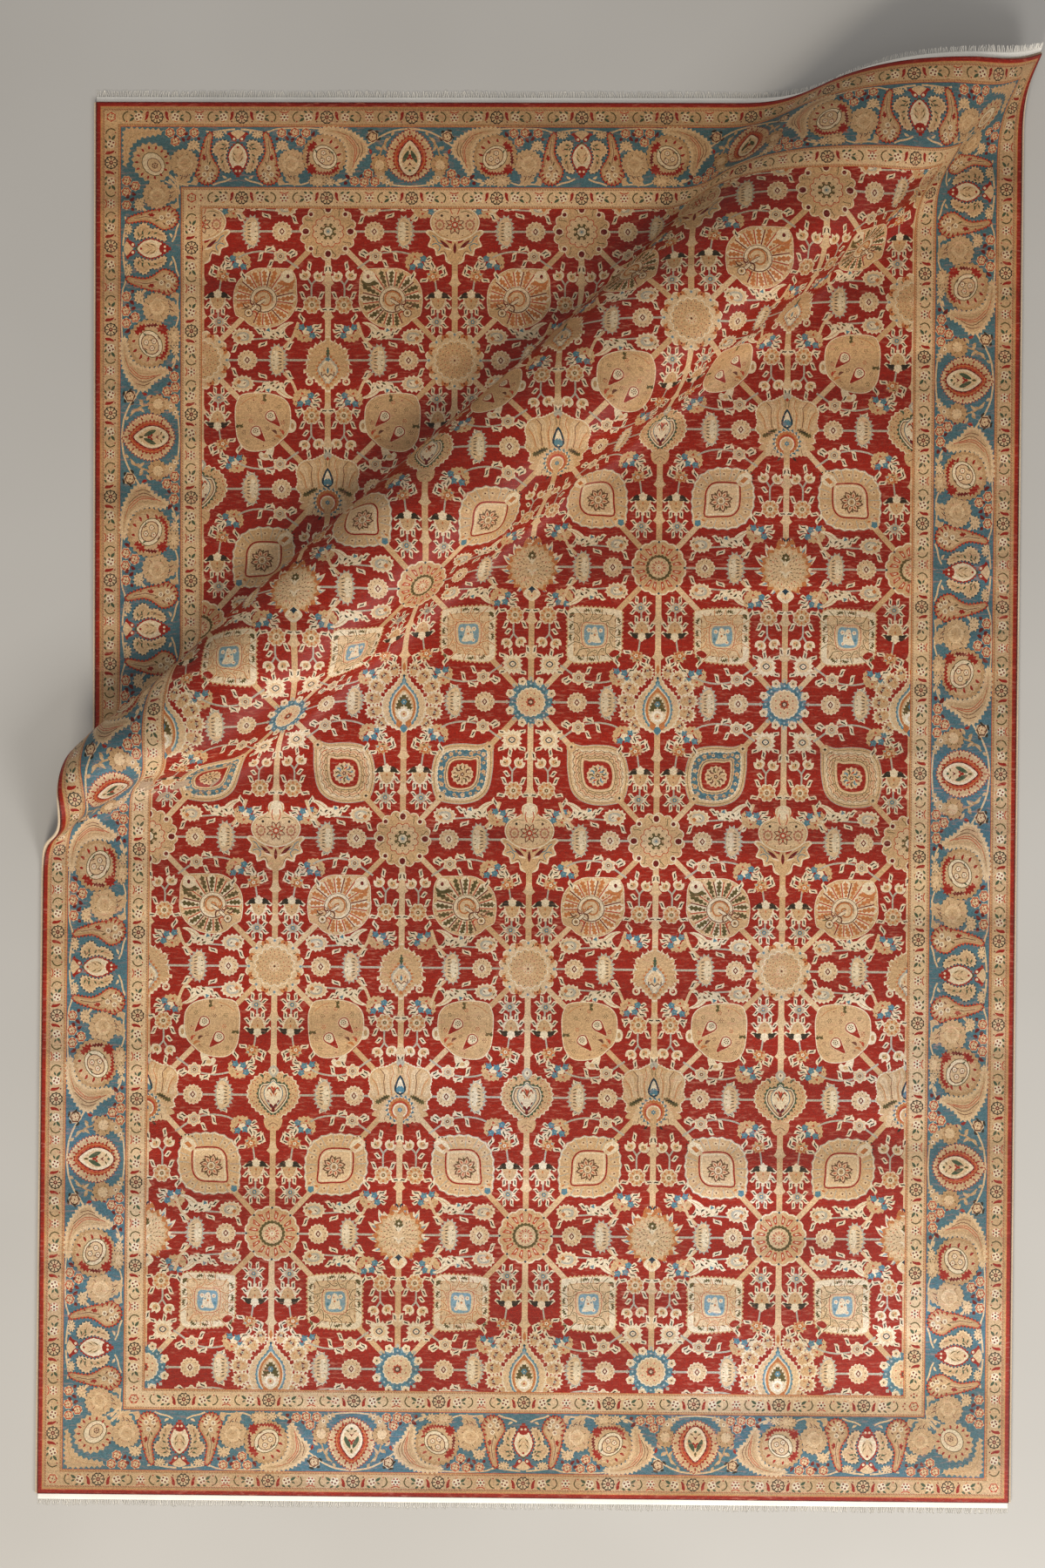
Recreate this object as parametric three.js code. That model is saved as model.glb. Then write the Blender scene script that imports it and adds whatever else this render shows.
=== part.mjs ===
// A machine-made pile rug lying on a floor, with its far left corner pushed
// towards the middle so that one long ridge stands up across it.
// Millimetres, +Z up. The origin is on the floor under the centre of the woven
// cloth. X runs across the rug and Y along it, as on its flat near part.
//
// The cloth is worked out as a flat sheet (x, y) first and then laid: the near
// part stays where it is, the far part is pushed and turned a little, and the
// cloth between them rises over the ridge without changing its length.
import * as THREE from 'three';
import { mergeVertices } from 'three/addons/utils/BufferGeometryUtils.js';

// The sheet, the pieces at its edges and the gap between touching pieces
const WIDTH = 2000;
const LENGTH = 3000;
const CLOTH_THICK = 9;
const GAP = 0.3;
const BINDING = { wide: 5, high: 7.5, corner: 1.2 };
const HEADER = { wide: 9, thick: 3 };
const FRINGE = { locks: 100, long: 14, uneven: 1.5, rootShare: 0.68, tipShare: 0.5, tipThick: 1.4 };

// How the far part lies, measured against the near part
const PUSH = new THREE.Vector2(105, -126.5);
const TURN = THREE.MathUtils.degToRad(0.455);

// The ridge. "Across" is the direction from the far part to the near part and
// "along" is the ridge's own direction, both from the sheet's centre.
const ACROSS_ANGLE = THREE.MathUtils.degToRad(-51.1);
const ACROSS = new THREE.Vector2(Math.cos(ACROSS_ANGLE), Math.sin(ACROSS_ANGLE));
const ALONG = new THREE.Vector2(-ACROSS.y, ACROSS.x);

// One row for each section of the ridge. along: where the section is. foot,
// crest and toe: the distances across at which the wall starts, the ridge is
// highest and the slope ends. high: the ridge's height. wallAt and slopeAt:
// where the steepest place is, as a share of the wall and of the slope.
// wallBend: how the wall rounds over into the crest.
const SECTIONS = [
  { along: -780, foot: -796, crest: -628, toe: -446, high: 122, wallAt: 0.30, slopeAt: 0.50, wallBend: 0.5 },
  { along: -640, foot: -801, crest: -621, toe: -411, high: 130, wallAt: 0.28, slopeAt: 0.52, wallBend: 0.7 },
  { along: -470, foot: -811, crest: -576, toe: -316, high: 134, wallAt: 0.26, slopeAt: 0.58, wallBend: 1.0 },
  { along: -220, foot: -826, crest: -576, toe: -316, high: 138, wallAt: 0.24, slopeAt: 0.60, wallBend: 1.2 },
  { along: 180, foot: -841, crest: -591, toe: -336, high: 142, wallAt: 0.22, slopeAt: 0.60, wallBend: 1.2 },
  { along: 580, foot: -861, crest: -591, toe: -346, high: 146, wallAt: 0.22, slopeAt: 0.60, wallBend: 1.2 },
  { along: 880, foot: -891, crest: -596, toe: -351, high: 150, wallAt: 0.24, slopeAt: 0.60, wallBend: 1.2 },
  { along: 1180, foot: -961, crest: -606, toe: -361, high: 154, wallAt: 0.34, slopeAt: 0.60, wallBend: 1.2 },
  { along: 1430, foot: -991, crest: -626, toe: -371, high: 150, wallAt: 0.42, slopeAt: 0.56, wallBend: 1.2 },
  { along: 1720, foot: -981, crest: -676, toe: -396, high: 132, wallAt: 0.45, slopeAt: 0.50, wallBend: 1.0 },
];
const STEEPEST = THREE.MathUtils.degToRad(120);
const PROFILE_STEPS = 320;
const HALVINGS = 26;
const NORMAL_STEP = 2;

// The sheet is bent on lines at these distances across, closer together where
// the wall starts, and is cut again at even distances along
const BEND_FROM = -1000;
const WALL_FOOT_TO = -740;
const BEND_TO = -300;
const FOOT_STEP = 10;
const SLOPE_STEP = 16;
const SECTION_STEP = 120;
const KEY_SCALE = 1000;
const REACH = Math.hypot(WIDTH, LENGTH) / 2;
const BEND_LINES = [
  ...lines(BEND_FROM, WALL_FOOT_TO, FOOT_STEP),
  ...lines(WALL_FOOT_TO, BEND_TO, SLOPE_STEP).slice(1),
];
const SECTION_LINES = lines(-REACH, REACH, SECTION_STEP);

function lines(from, to, step) {
  const count = Math.round((to - from) / step);
  return Array.from({ length: count + 1 }, (_, i) => from + (to - from) * i / count);
}

// A section at any place along, on a smooth curve through the rows
function sectionAt(along) {
  const last = SECTIONS.length - 1;
  const at = THREE.MathUtils.clamp(along, SECTIONS[0].along, SECTIONS[last].along);
  let i = 0;
  while (i < last - 1 && at > SECTIONS[i + 1].along) i += 1;
  const rows = [Math.max(i - 1, 0), i, i + 1, Math.min(i + 2, last)].map((k) => SECTIONS[k]);
  const span = rows[2].along - rows[1].along;
  const q = (at - rows[1].along) / span;
  const blend = [(1 + 2 * q) * (1 - q) ** 2, q * (1 - q) ** 2, q * q * (3 - 2 * q), q * q * (q - 1)];
  const section = {};
  for (const column of ['foot', 'crest', 'toe', 'high', 'wallAt', 'slopeAt', 'wallBend']) {
    const from = (rows[2][column] - rows[0][column]) / (rows[2].along - rows[0].along);
    const to = (rows[3][column] - rows[1][column]) / (rows[3].along - rows[1].along);
    section[column] = blend[0] * rows[1][column] + blend[1] * span * from
      + blend[2] * rows[2][column] + blend[3] * span * to;
  }
  return section;
}

// How steep the cloth is at a share q of the wall or of the slope, against its
// steepest place
function wallShape(q, section) {
  if (q < section.wallAt) return (1 - Math.cos(Math.PI * q / section.wallAt)) / 2;
  return ((1 - q) / (1 - section.wallAt)) ** section.wallBend;
}

function slopeShape(q, section) {
  if (q < section.slopeAt) return Math.sin(Math.PI / 2 * q / section.slopeAt);
  return (1 + Math.cos(Math.PI * (q - section.slopeAt) / (1 - section.slopeAt))) / 2;
}

// One side of the ridge: height gained and level way lost at each step, with
// the steepest angle found so that the side reaches the ridge's height
function side(shape, section, span) {
  const step = span / PROFILE_STEPS;
  const run = (steepest) => {
    const rise = [0];
    const lost = [0];
    for (let i = 0; i < PROFILE_STEPS; i += 1) {
      const angle = steepest * shape((i + 0.5) / PROFILE_STEPS, section);
      rise.push(rise[i] + step * Math.sin(angle));
      lost.push(lost[i] + step * (1 - Math.cos(angle)));
    }
    return { rise, lost };
  };
  let low = 0;
  let high = STEEPEST;
  for (let i = 0; i < HALVINGS; i += 1) {
    const middle = (low + high) / 2;
    if (run(middle).rise[PROFILE_STEPS] < section.high) low = middle;
    else high = middle;
  }
  return run(low);
}

const profiles = new Map();
function profileAt(along) {
  const key = Math.round(along);
  if (!profiles.has(key)) {
    const section = sectionAt(key);
    const wall = side(wallShape, section, section.crest - section.foot);
    const slope = side(slopeShape, section, section.toe - section.crest);
    profiles.set(key, { section, wall, slope });
  }
  return profiles.get(key);
}

function sample(list, share) {
  const place = THREE.MathUtils.clamp(share, 0, 1) * PROFILE_STEPS;
  const i = Math.min(Math.floor(place), PROFILE_STEPS - 1);
  return THREE.MathUtils.lerp(list[i], list[i + 1], place - i);
}

// Where the cloth's underside lies, for a point of the flat sheet
function laid(x, y) {
  const across = x * ACROSS.x + y * ACROSS.y;
  const along = x * ALONG.x + y * ALONG.y;
  const { section, wall, slope } = profileAt(along);
  const wallShare = (across - section.foot) / (section.crest - section.foot);
  const slopeShare = (across - section.crest) / (section.toe - section.crest);
  const allLost = wall.lost[PROFILE_STEPS] + slope.lost[PROFILE_STEPS];
  const pushed = 1 - (sample(wall.lost, wallShare) + sample(slope.lost, slopeShare)) / allLost;
  const top = wall.rise[PROFILE_STEPS] / slope.rise[PROFILE_STEPS];
  const z = sample(wall.rise, wallShare) - top * sample(slope.rise, slopeShare);
  const far = new THREE.Vector2(x, y).rotateAround(new THREE.Vector2(), TURN).add(PUSH);
  return new THREE.Vector3(x + pushed * (far.x - x), y + pushed * (far.y - y), Math.max(z, 0));
}

// A point at a height over the underside, square to the cloth
function over(x, y, height) {
  const at = laid(x, y);
  if (height === 0) return at;
  const alongX = laid(x + NORMAL_STEP, y).sub(laid(x - NORMAL_STEP, y));
  const alongY = laid(x, y + NORMAL_STEP).sub(laid(x, y - NORMAL_STEP));
  return at.addScaledVector(alongX.cross(alongY).normalize(), height);
}

// A closed mesh from corner points and faces of three corners
function solid(name, points, faces, material) {
  let volume = 0;
  for (const [a, b, c] of faces) {
    volume += points[a].dot(new THREE.Vector3().crossVectors(points[b], points[c]));
  }
  const order = volume > 0 ? faces : faces.map(([a, b, c]) => [a, c, b]);
  const raw = new THREE.BufferGeometry();
  raw.setAttribute('position', new THREE.Float32BufferAttribute(points.flatMap((p) => p.toArray()), 3));
  raw.setIndex(order.flat());
  const geometry = mergeVertices(raw, 1e-4);
  geometry.computeVertexNormals();
  const mesh = new THREE.Mesh(geometry, material);
  mesh.name = name;
  return mesh;
}

// The part of a flat outline on one side of a line: normal . point <= limit
function clip(outline, normal, limit) {
  const kept = [];
  outline.forEach((point, i) => {
    const next = outline[(i + 1) % outline.length];
    const here = normal.dot(point) - limit;
    const there = normal.dot(next) - limit;
    if (here <= 0) kept.push(point);
    if (here * there < 0) kept.push(point.clone().lerp(next, here / (here - there)));
  });
  return kept;
}

// Where a straight border of the sheet is bent: its ends and every place where
// it crosses a line inside the bent part
function borderPoints(from, to) {
  const shares = [0, 1];
  const crossings = (direction, values) => {
    const [a, b] = [direction.dot(from), direction.dot(to)];
    for (const value of values) {
      const share = (value - a) / (b - a);
      const across = ACROSS.dot(from.clone().lerp(to, share));
      const bent = across > BEND_FROM - GAP && across < BEND_TO + GAP;
      if (share > 0 && share < 1 && bent) shares.push(share);
    }
  };
  crossings(ACROSS, BEND_LINES);
  crossings(ALONG, SECTION_LINES);
  return shares.sort((a, b) => a - b).map((share) => from.clone().lerp(to, share));
}

// Four corners as two faces, split so that the solid is never the fuller one:
// a twisted side then keeps its gap to the piece beside it
function fourCorners(points, [a, b, c, d]) {
  const [ab, ac, ad] = [b, c, d].map((k) => points[k].clone().sub(points[a]));
  return ab.cross(ac).dot(ad) > 0 ? [[a, b, c], [a, c, d]] : [[a, b, d], [b, c, d]];
}

// The pile cloth: the flat rectangle is cut along the bend lines, laid, and
// given its thickness
function clothMesh(material) {
  const rectangle = [[-1, -1], [1, -1], [1, 1], [-1, 1]]
    .map(([x, y]) => new THREE.Vector2(x * WIDTH / 2, y * LENGTH / 2));
  const flat = [];
  const index = new Map();
  const vertex = (p) => {
    const key = `${Math.round(p.x * KEY_SCALE)},${Math.round(p.y * KEY_SCALE)}`;
    if (!index.has(key)) {
      index.set(key, flat.length);
      flat.push(p);
    }
    return index.get(key);
  };
  const tops = [];
  const addCell = (outline) => {
    const corners = outline.map(vertex).filter((v, i, all) => v !== all[(i + 1) % all.length]);
    if (corners.length < 3) return;
    const contour = corners.map((v) => flat[v]);
    for (const face of THREE.ShapeUtils.triangulateShape(contour, [])) {
      tops.push(face.map((v) => corners[v]));
    }
  };
  const between = (outline, direction, low, high) => (
    clip(clip(outline, direction, high), direction.clone().negate(), -low)
  );
  for (let i = 0; i + 1 < BEND_LINES.length; i += 1) {
    const strip = between(rectangle, ACROSS, BEND_LINES[i], BEND_LINES[i + 1]);
    for (let j = 0; j + 1 < SECTION_LINES.length; j += 1) {
      addCell(between(strip, ALONG, SECTION_LINES[j], SECTION_LINES[j + 1]));
    }
  }
  // The two flat parts, with the bend line's points on the side that they share
  const flatPart = (outline, limit) => {
    const full = outline.flatMap((point, i) => {
      const next = outline[(i + 1) % outline.length];
      const shared = [point, next].every((p) => Math.abs(ACROSS.dot(p) - limit) < 1e-6);
      return shared ? borderPoints(point, next).slice(0, -1) : [point];
    });
    addCell(full);
  };
  flatPart(clip(rectangle, ACROSS, BEND_FROM), BEND_FROM);
  flatPart(clip(rectangle, ACROSS.clone().negate(), -BEND_TO), BEND_TO);

  const points = [...flat.map((p) => over(p.x, p.y, 0)), ...flat.map((p) => over(p.x, p.y, CLOTH_THICK))];
  const faces = [];
  const edges = new Set();
  for (const [a, b, c] of tops) {
    faces.push([c, b, a], [a, b, c].map((v) => v + flat.length));
    for (const [from, to] of [[a, b], [b, c], [c, a]]) {
      if (!edges.delete(`${to},${from}`)) edges.add(`${from},${to}`);
    }
  }
  for (const edge of edges) {
    const [from, to] = edge.split(',').map(Number);
    faces.push(...fourCorners(points, [from, to, to + flat.length, from + flat.length]));
  }
  return solid('rug_cloth', points, faces, material);
}

// The overcast binding along one long edge: a cord of eight sides
function bindingMesh(name, sideSign, material) {
  const { wide, high, corner } = BINDING;
  const section = [
    [0, corner], [corner, 0], [wide - corner, 0], [wide, corner],
    [wide, high - 2 * corner], [wide - 2 * corner, high], [corner, high], [0, high - corner],
  ];
  const ends = [-1, 1].map((way) => new THREE.Vector2(sideSign * WIDTH / 2, way * LENGTH / 2));
  const stations = borderPoints(...ends);
  const points = stations.flatMap(({ x, y }) => (
    section.map(([out, up]) => over(x + sideSign * (GAP + out), y, up))
  ));
  const sides = section.length;
  const faces = [];
  const turned = ([a, b, c, d]) => (sideSign > 0 ? [d, c, b, a] : [a, b, c, d]);
  for (let i = 0; i + 1 < stations.length; i += 1) {
    for (let k = 0; k < sides; k += 1) {
      const a = i * sides + k;
      const b = i * sides + (k + 1) % sides;
      faces.push(...fourCorners(points, turned([a, b, b + sides, a + sides])));
    }
  }
  const last = (stations.length - 1) * sides;
  for (let k = 1; k + 1 < sides; k += 1) {
    const caps = [[k + 1, k, 0], [last, last + k, last + k + 1]];
    faces.push(...(sideSign > 0 ? caps.map(([a, b, c]) => [c, b, a]) : caps));
  }
  return solid(name, points, faces, material);
}

// The flat-woven header at one end with its locks of fringe, as one comb
function fringeMesh(name, endSign, material) {
  const pitch = WIDTH / FRINGE.locks;
  const ends = [-1, 1].map((way) => new THREE.Vector2(way * WIDTH / 2, endSign * LENGTH / 2));
  const bends = borderPoints(...ends).map((p) => p.x);
  const points = [];
  const faces = [];
  // A corner of the comb, straight between two bends as the cloth's end is
  const add = (x, out, height) => {
    const i = Math.max(bends.findIndex((bend) => bend >= x), 1);
    const y = endSign * (LENGTH / 2 + GAP + out);
    const share = (x - bends[i - 1]) / (bends[i] - bends[i - 1]);
    return points.push(over(bends[i - 1], y, height).lerp(over(bends[i], y, height), share)) - 1;
  };
  const pair = (x, out, high) => ({ x, low: add(x, out, 0), high: add(x, out, high) });
  const face = (...corners) => {
    const order = endSign > 0 ? corners : corners.reverse();
    faces.push(...(order.length === 4 ? fourCorners(points, order) : [order]));
  };

  const pitches = lines(-WIDTH / 2, WIDTH / 2, pitch)
    .filter((x) => bends.every((bend) => Math.abs(bend - x) > 1));
  const inner = [...bends, ...pitches].sort((a, b) => a - b).map((x) => pair(x, 0, HEADER.thick));
  const middles = Array.from({ length: FRINGE.locks }, (_, k) => -WIDTH / 2 + pitch * (k + 0.5));
  const roots = middles.flatMap((x) => [x - pitch * FRINGE.rootShare / 2, x + pitch * FRINGE.rootShare / 2]);
  const outer = [-WIDTH / 2, ...roots, WIDTH / 2].map((x) => pair(x, HEADER.wide, HEADER.thick));

  let i = 0;
  let j = 0;
  while (i + 1 < inner.length || j + 1 < outer.length) {
    const stepInner = j + 1 === outer.length || (i + 1 < inner.length && inner[i + 1].x <= outer[j + 1].x);
    const next = stepInner ? inner[i + 1] : outer[j + 1];
    face(inner[i].high, next.high, outer[j].high);
    face(outer[j].low, next.low, inner[i].low);
    if (stepInner) {
      face(inner[i].low, next.low, next.high, inner[i].high);
      i += 1;
    } else {
      if (j % 2 === 0) face(next.low, outer[j].low, outer[j].high, next.high);
      j += 1;
    }
  }
  face(outer[0].low, inner[0].low, inner[0].high, outer[0].high);
  face(inner[i].low, outer[j].low, outer[j].high, inner[i].high);

  middles.forEach((middle, lock) => {
    const [a, b] = [outer[2 * lock + 1], outer[2 * lock + 2]];
    const out = HEADER.wide + FRINGE.long + FRINGE.uneven * Math.sin(5 * lock);
    const tipMiddle = middle + FRINGE.uneven * Math.sin(3 * lock);
    const [p, q] = [-1, 1].map((way) => (
      pair(tipMiddle + way * pitch * FRINGE.tipShare / 2, out, FRINGE.tipThick)
    ));
    face(a.high, b.high, q.high, p.high);
    face(p.low, q.low, b.low, a.low);
    face(p.low, a.low, a.high, p.high);
    face(b.low, q.low, q.high, b.high);
    face(q.low, p.low, p.high, q.high);
  });
  return solid(name, points, faces, material);
}

const pile = new THREE.MeshStandardMaterial({ color: 0x9a4a33, roughness: 0.85, metalness: 0 });
const bindingYarn = new THREE.MeshStandardMaterial({ color: 0xd8c3a4, roughness: 0.8, metalness: 0 });
const fringeYarn = new THREE.MeshStandardMaterial({ color: 0xece4d6, roughness: 0.8, metalness: 0 });

const rug = new THREE.Group();
rug.add(
  clothMesh(pile),
  bindingMesh('edge_binding_left', -1, bindingYarn),
  bindingMesh('edge_binding_right', 1, bindingYarn),
  fringeMesh('fringe_far', 1, fringeYarn),
  fringeMesh('fringe_near', -1, fringeYarn),
);

export default rug;
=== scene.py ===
# A machine-made pile rug that lies on a floor with one long ridge pushed up
# across it. Lengths are millimetres in the flat sheet and metres in Blender.
import math

import bpy
import numpy as np
from mathutils import Matrix, Vector
from mathutils.geometry import delaunay_2d_cdt


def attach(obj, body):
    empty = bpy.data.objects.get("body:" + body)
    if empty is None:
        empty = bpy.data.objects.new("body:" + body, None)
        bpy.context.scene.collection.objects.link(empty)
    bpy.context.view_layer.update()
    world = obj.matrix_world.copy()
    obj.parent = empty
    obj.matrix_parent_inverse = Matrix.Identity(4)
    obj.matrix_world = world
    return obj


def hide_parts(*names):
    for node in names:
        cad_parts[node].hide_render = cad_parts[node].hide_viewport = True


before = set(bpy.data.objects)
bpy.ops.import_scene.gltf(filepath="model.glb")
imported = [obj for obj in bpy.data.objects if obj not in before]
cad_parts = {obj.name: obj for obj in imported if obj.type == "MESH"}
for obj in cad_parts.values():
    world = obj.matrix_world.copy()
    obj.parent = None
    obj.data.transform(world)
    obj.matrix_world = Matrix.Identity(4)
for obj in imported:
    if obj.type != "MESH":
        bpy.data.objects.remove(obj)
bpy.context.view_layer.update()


# The pattern is drawn as flat shapes in millimetres, u across and v up the
# flat rug from its near left corner. Points are complex numbers u + iv. A
# motif is a list of (outline, colour name), each shape over the ones before.
COLOURS = {"red": (146, 28, 5), "deep": (104, 20, 8), "rust": (174, 64, 34), "orange": (184, 112, 60),
           "brown": (102, 58, 36), "dark": (46, 38, 22), "olive": (88, 76, 36), "green": (66, 80, 54),
           "teal": (74, 108, 116), "sea": (82, 122, 132), "ink": (30, 52, 62), "blue": (124, 152, 158),
           "grey": (176, 168, 148), "tan": (180, 142, 98), "beige": (200, 162, 116),
           "sand": (212, 180, 138), "cream": (224, 204, 170), "white": (238, 224, 200),
           "rose": (172, 106, 80), "gold": (190, 142, 90), "flax": (196, 162, 120), }

WIDE, LONG = 2000.0, 3000.0
BANDS = (11.0, 51.0, 176.0, 219.0)
COLUMNS = (217.0, 478.0, 739.0, 1000.0, 1261.0, 1522.0, 1783.0)
ROWS = (2734.0, 2469.0, 2204.0, 1918.0, 1639.0, 1355.0, 1090.0, 825.0, 540.0, 263.0)


def at(*numbers):
    pairs = np.array(numbers, float).reshape(-1, 2)
    return pairs[:, 0] + 1j * pairs[:, 1]


def even(*numbers):
    # An outline from its top round its right half to its foot, mirrored on the left
    half = at(*numbers)
    back = -np.conj(half[::-1])
    return np.concatenate([half, back[back.real < 0]])


def smooth(points, steps=3, closed=True):
    p = np.asarray(points, complex)
    if closed:
        a, b, c, d = np.roll(p, 1), p, np.roll(p, -1), np.roll(p, -2)
    else:
        q = np.concatenate([[2 * p[0] - p[1]], p, [2 * p[-1] - p[-2]]])
        a, b, c, d = q[:-3], q[1:-2], q[2:-1], q[3:]
    t = (np.arange(steps) / steps)[:, None]
    out = 0.5 * (2 * b + (c - a) * t + (2 * a - 5 * b + 4 * c - d) * t ** 2
                 + (3 * b - a - 3 * c + d) * t ** 3)
    out = out.T.reshape(-1)
    return out if closed else np.append(out, p[-1])


def curve(*numbers, steps=2):
    return smooth(at(*numbers), steps)


def oval(centre, across, up=None, n=12, turn=0.0):
    a = 2 * np.pi * np.arange(n) / n
    return centre + (across * np.cos(a) + 1j * (up or across) * np.sin(a)) * np.exp(1j * turn)


def dot(colour, centre, radius, n=4):
    return oval(centre, radius, n=n), colour


def scallop(centre, radius, lobes, depth, per=4, turn=0.0):
    a = 2 * np.pi * np.arange(lobes * per) / (lobes * per)
    r = radius * (1 + depth * (np.abs(np.sin(lobes * a / 2)) - 1))
    return centre + r * np.exp(1j * (a + turn))


def spiky(centre, radius, points, depth, turn=0.0):
    a = np.pi * np.arange(2 * points) / points
    r = np.where(np.arange(2 * points) % 2, radius * (1 - depth), radius)
    return centre + r * np.exp(1j * (a + turn))


def toothed(points, teeth, depth):
    p = np.asarray(points, complex)
    ends = np.append(p, p[0])
    run = np.concatenate([[0], np.cumsum(np.abs(np.diff(ends)))])
    place = np.arange(2 * teeth) / (2 * teeth) * run[-1]
    q = np.interp(place, run, ends.real) + 1j * np.interp(place, run, ends.imag)
    along = np.roll(q, -1) - np.roll(q, 1)
    normal = -1j * along / np.maximum(np.abs(along), 1e-9)
    area = np.sum(q.real * np.roll(q.imag, -1) - np.roll(q.real, -1) * q.imag)
    return q + np.sign(area) * normal * np.where(np.arange(2 * teeth) % 2, depth, -depth) / 2


def leaf(root, tip, wide, bend=0.0, n=4):
    t = np.linspace(0, 1, n + 2)[1:-1]
    way = tip - root
    mid = root + way * t + 1j * way * bend * np.sin(np.pi * t)
    side = 1j * way / abs(way) * wide / 2 * np.sin(np.pi * t ** 0.85) ** 0.8
    return np.concatenate([[root], mid - side, [tip], (mid + side)[::-1]])


def sleaf(root, tip, wide, bend=0.25, n=6):
    t = np.linspace(0, 1, n + 2)[1:-1]
    way = tip - root
    mid = root + way * t + 1j * way * bend * np.sin(2 * np.pi * t)
    side = 1j * way / abs(way) * wide / 2 * np.sin(np.pi * t) ** 0.6
    return np.concatenate([[root], mid - side, [tip], (mid + side)[::-1]])


def stroke(points, wide, steps=3):
    p = smooth(points, steps, False) if steps > 1 else np.asarray(points, complex)
    along = np.gradient(p)
    side = 1j * along / np.abs(along) * wide / 2
    return np.concatenate([p - side, (p + side)[::-1]])


def grown(points, by):
    p = np.asarray(points, complex)
    along = np.roll(p, -1) - np.roll(p, 1)
    area = np.sum(p.real * np.roll(p.imag, -1) - np.roll(p.real, -1) * p.imag)
    q = p - np.sign(area) * 1j * along / np.maximum(np.abs(along), 1e-9) * by
    if by > 0:
        return q
    # Points that a thin tip would push past its other side are dropped
    step = np.roll(p, -1) - p
    share = np.clip(((q[:, None] - p) * np.conj(step)).real / np.maximum(np.abs(step), 1e-9) ** 2, 0, 1)
    gap = np.abs(q[:, None] - p - share * step).min(1)
    return q[gap > -by * 0.84]


def placed(motif, where=0j, turn=0.0, size=1.0, flip=False):
    k = size * np.exp(1j * turn)
    return [((-np.conj(p) if flip else p) * k + where, c) for p, c in motif]


def twins(motif):
    return [m for p, c in motif for m in ((p, c), (-np.conj(p)[::-1], c))]


def around(motif, n, start=0.0):
    return [m for i in range(n) for m in placed(motif, 0j, start + 2 * np.pi * i / n)]


def sprig(root, tip, wide=9.4, bend=0.2, rim="cream", core="dark"):
    # An S-shaped leaf with a pale rim and a dark core
    way = tip - root
    return [(sleaf(root, tip, wide, bend * 0.55, 4), rim),
            (sleaf(root + way * 0.2, tip - way * 0.17, wide * 0.36, bend * 0.45, 2), core)]


def sprigs(*numbers, wide=9.4, rim="cream"):
    # Several leaves: four numbers for each one's ends and one for its bend
    m = []
    for k in range(0, len(numbers), 5):
        a, b, c, d, bend = numbers[k:k + 5]
        m += sprig(complex(a, b), complex(c, d), wide, bend, rim)
    return m


# Small figures of the field
def ringlet(radius=21.5):
    m = [(scallop(0, radius, 15, 0.13, 2), "cream"), dot("sand", 0, radius * 0.86, 14)]
    m += around([(oval(radius * 0.68, 2.2, 1.4, 3), "brown")], 10, 0.1)
    m += [(scallop(0, 9.0, 8, 0.1, 2), "cream")]
    return m + [(at(5.5, 0, 0, 7.5, -5.5, 0, 0, -7.5), "deep"),
                (at(2.8, 0, 0, 4, -2.8, 0, 0, -4), "cream")]


def carnation():
    body = curve(-8, 30, 4, 33, 13, 22, 16, 0, 13, -22, 4, -33, -8, -30, -19, -16, -21, 0, -19, 16)
    m = [(toothed(body, 18, 6), "grey"), (grown(body, -4.0), "sand")]
    m += [(toothed(curve(2, 22, 9, 12, 11, 0, 9, -12, 2, -22, -3, -10, -5, 0, -3, 10), 8, 3.5), "cream")]
    m += [(leaf(complex(-11, y * 1.1), complex(-2, y * 1.35), 2.2, 0, 2), "dark")
          for y in (-14, -8, -3, 3, 8, 14)]
    m += [(leaf(complex(-17, y), complex(-13, y * 1.1), 2.0, 0, 2), "blue") for y in (-9, 0, 9)]
    return m + [(leaf(complex(4, y), complex(9, y * 1.1), 1.8, 0, 2), "olive") for y in (-10, 0, 10)]


def trefoil():
    # Three blue blossoms in a beige hook, for the upper right of a palmette
    hook = curve(-16, -18, -6, -22, 8, -22, 18, -15, 22, -3, 20, 10, 14, 14, 12, 4, 8, -4, 0, -8, -10, -8)
    m = sprigs(-14, 4, -34, 16, -0.25, -16, -2, -38, 4, -0.25,
               -17, -8, -34, -10, -0.25, 4, 15, 10, 38, 0.2)
    m += [(toothed(hook, 13, 3), "beige"), (oval(-3, 9, 8, 7), "cream")]
    for x, y in ((-9, 5), (7, 8), (-15, -9)):
        m.append((toothed(at(x - 6, y - 6, x + 6, y - 6, x + 6, y + 6, x - 6, y + 6), 5, 2.6), "sea"))
        m.append(dot("blue", complex(x + 1, y - 1), 1.8))
    m += [(leaf(9 - 14j, 17 - 6j, 3.4, 0.2, 2), "tan"), (at(-2, -12, 4, -17, 5, -11), "rust"),
          dot("brown", 16 + 3j, 1.7)]
    return m


def star():
    m = sprigs(-6, -3, -25, -10, -0.22, 6, -3, 25, -10, 0.22, -4, -7, -12, -25, -0.2, 4, -7, 11, -26, 0.2,
               -6, 3, -23, 11, 0.22, 6, 3, 23, 11, -0.22, wide=8.4)
    return m + [(spiky(0, 11, 10, 0.2), "grey"), (scallop(0, 7.4, 7, 0.2, 2), "tan"),
                (spiky(0, 5.4, 6, 0.3), "sea"), dot("sand", 0, 2, 5)]


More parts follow.
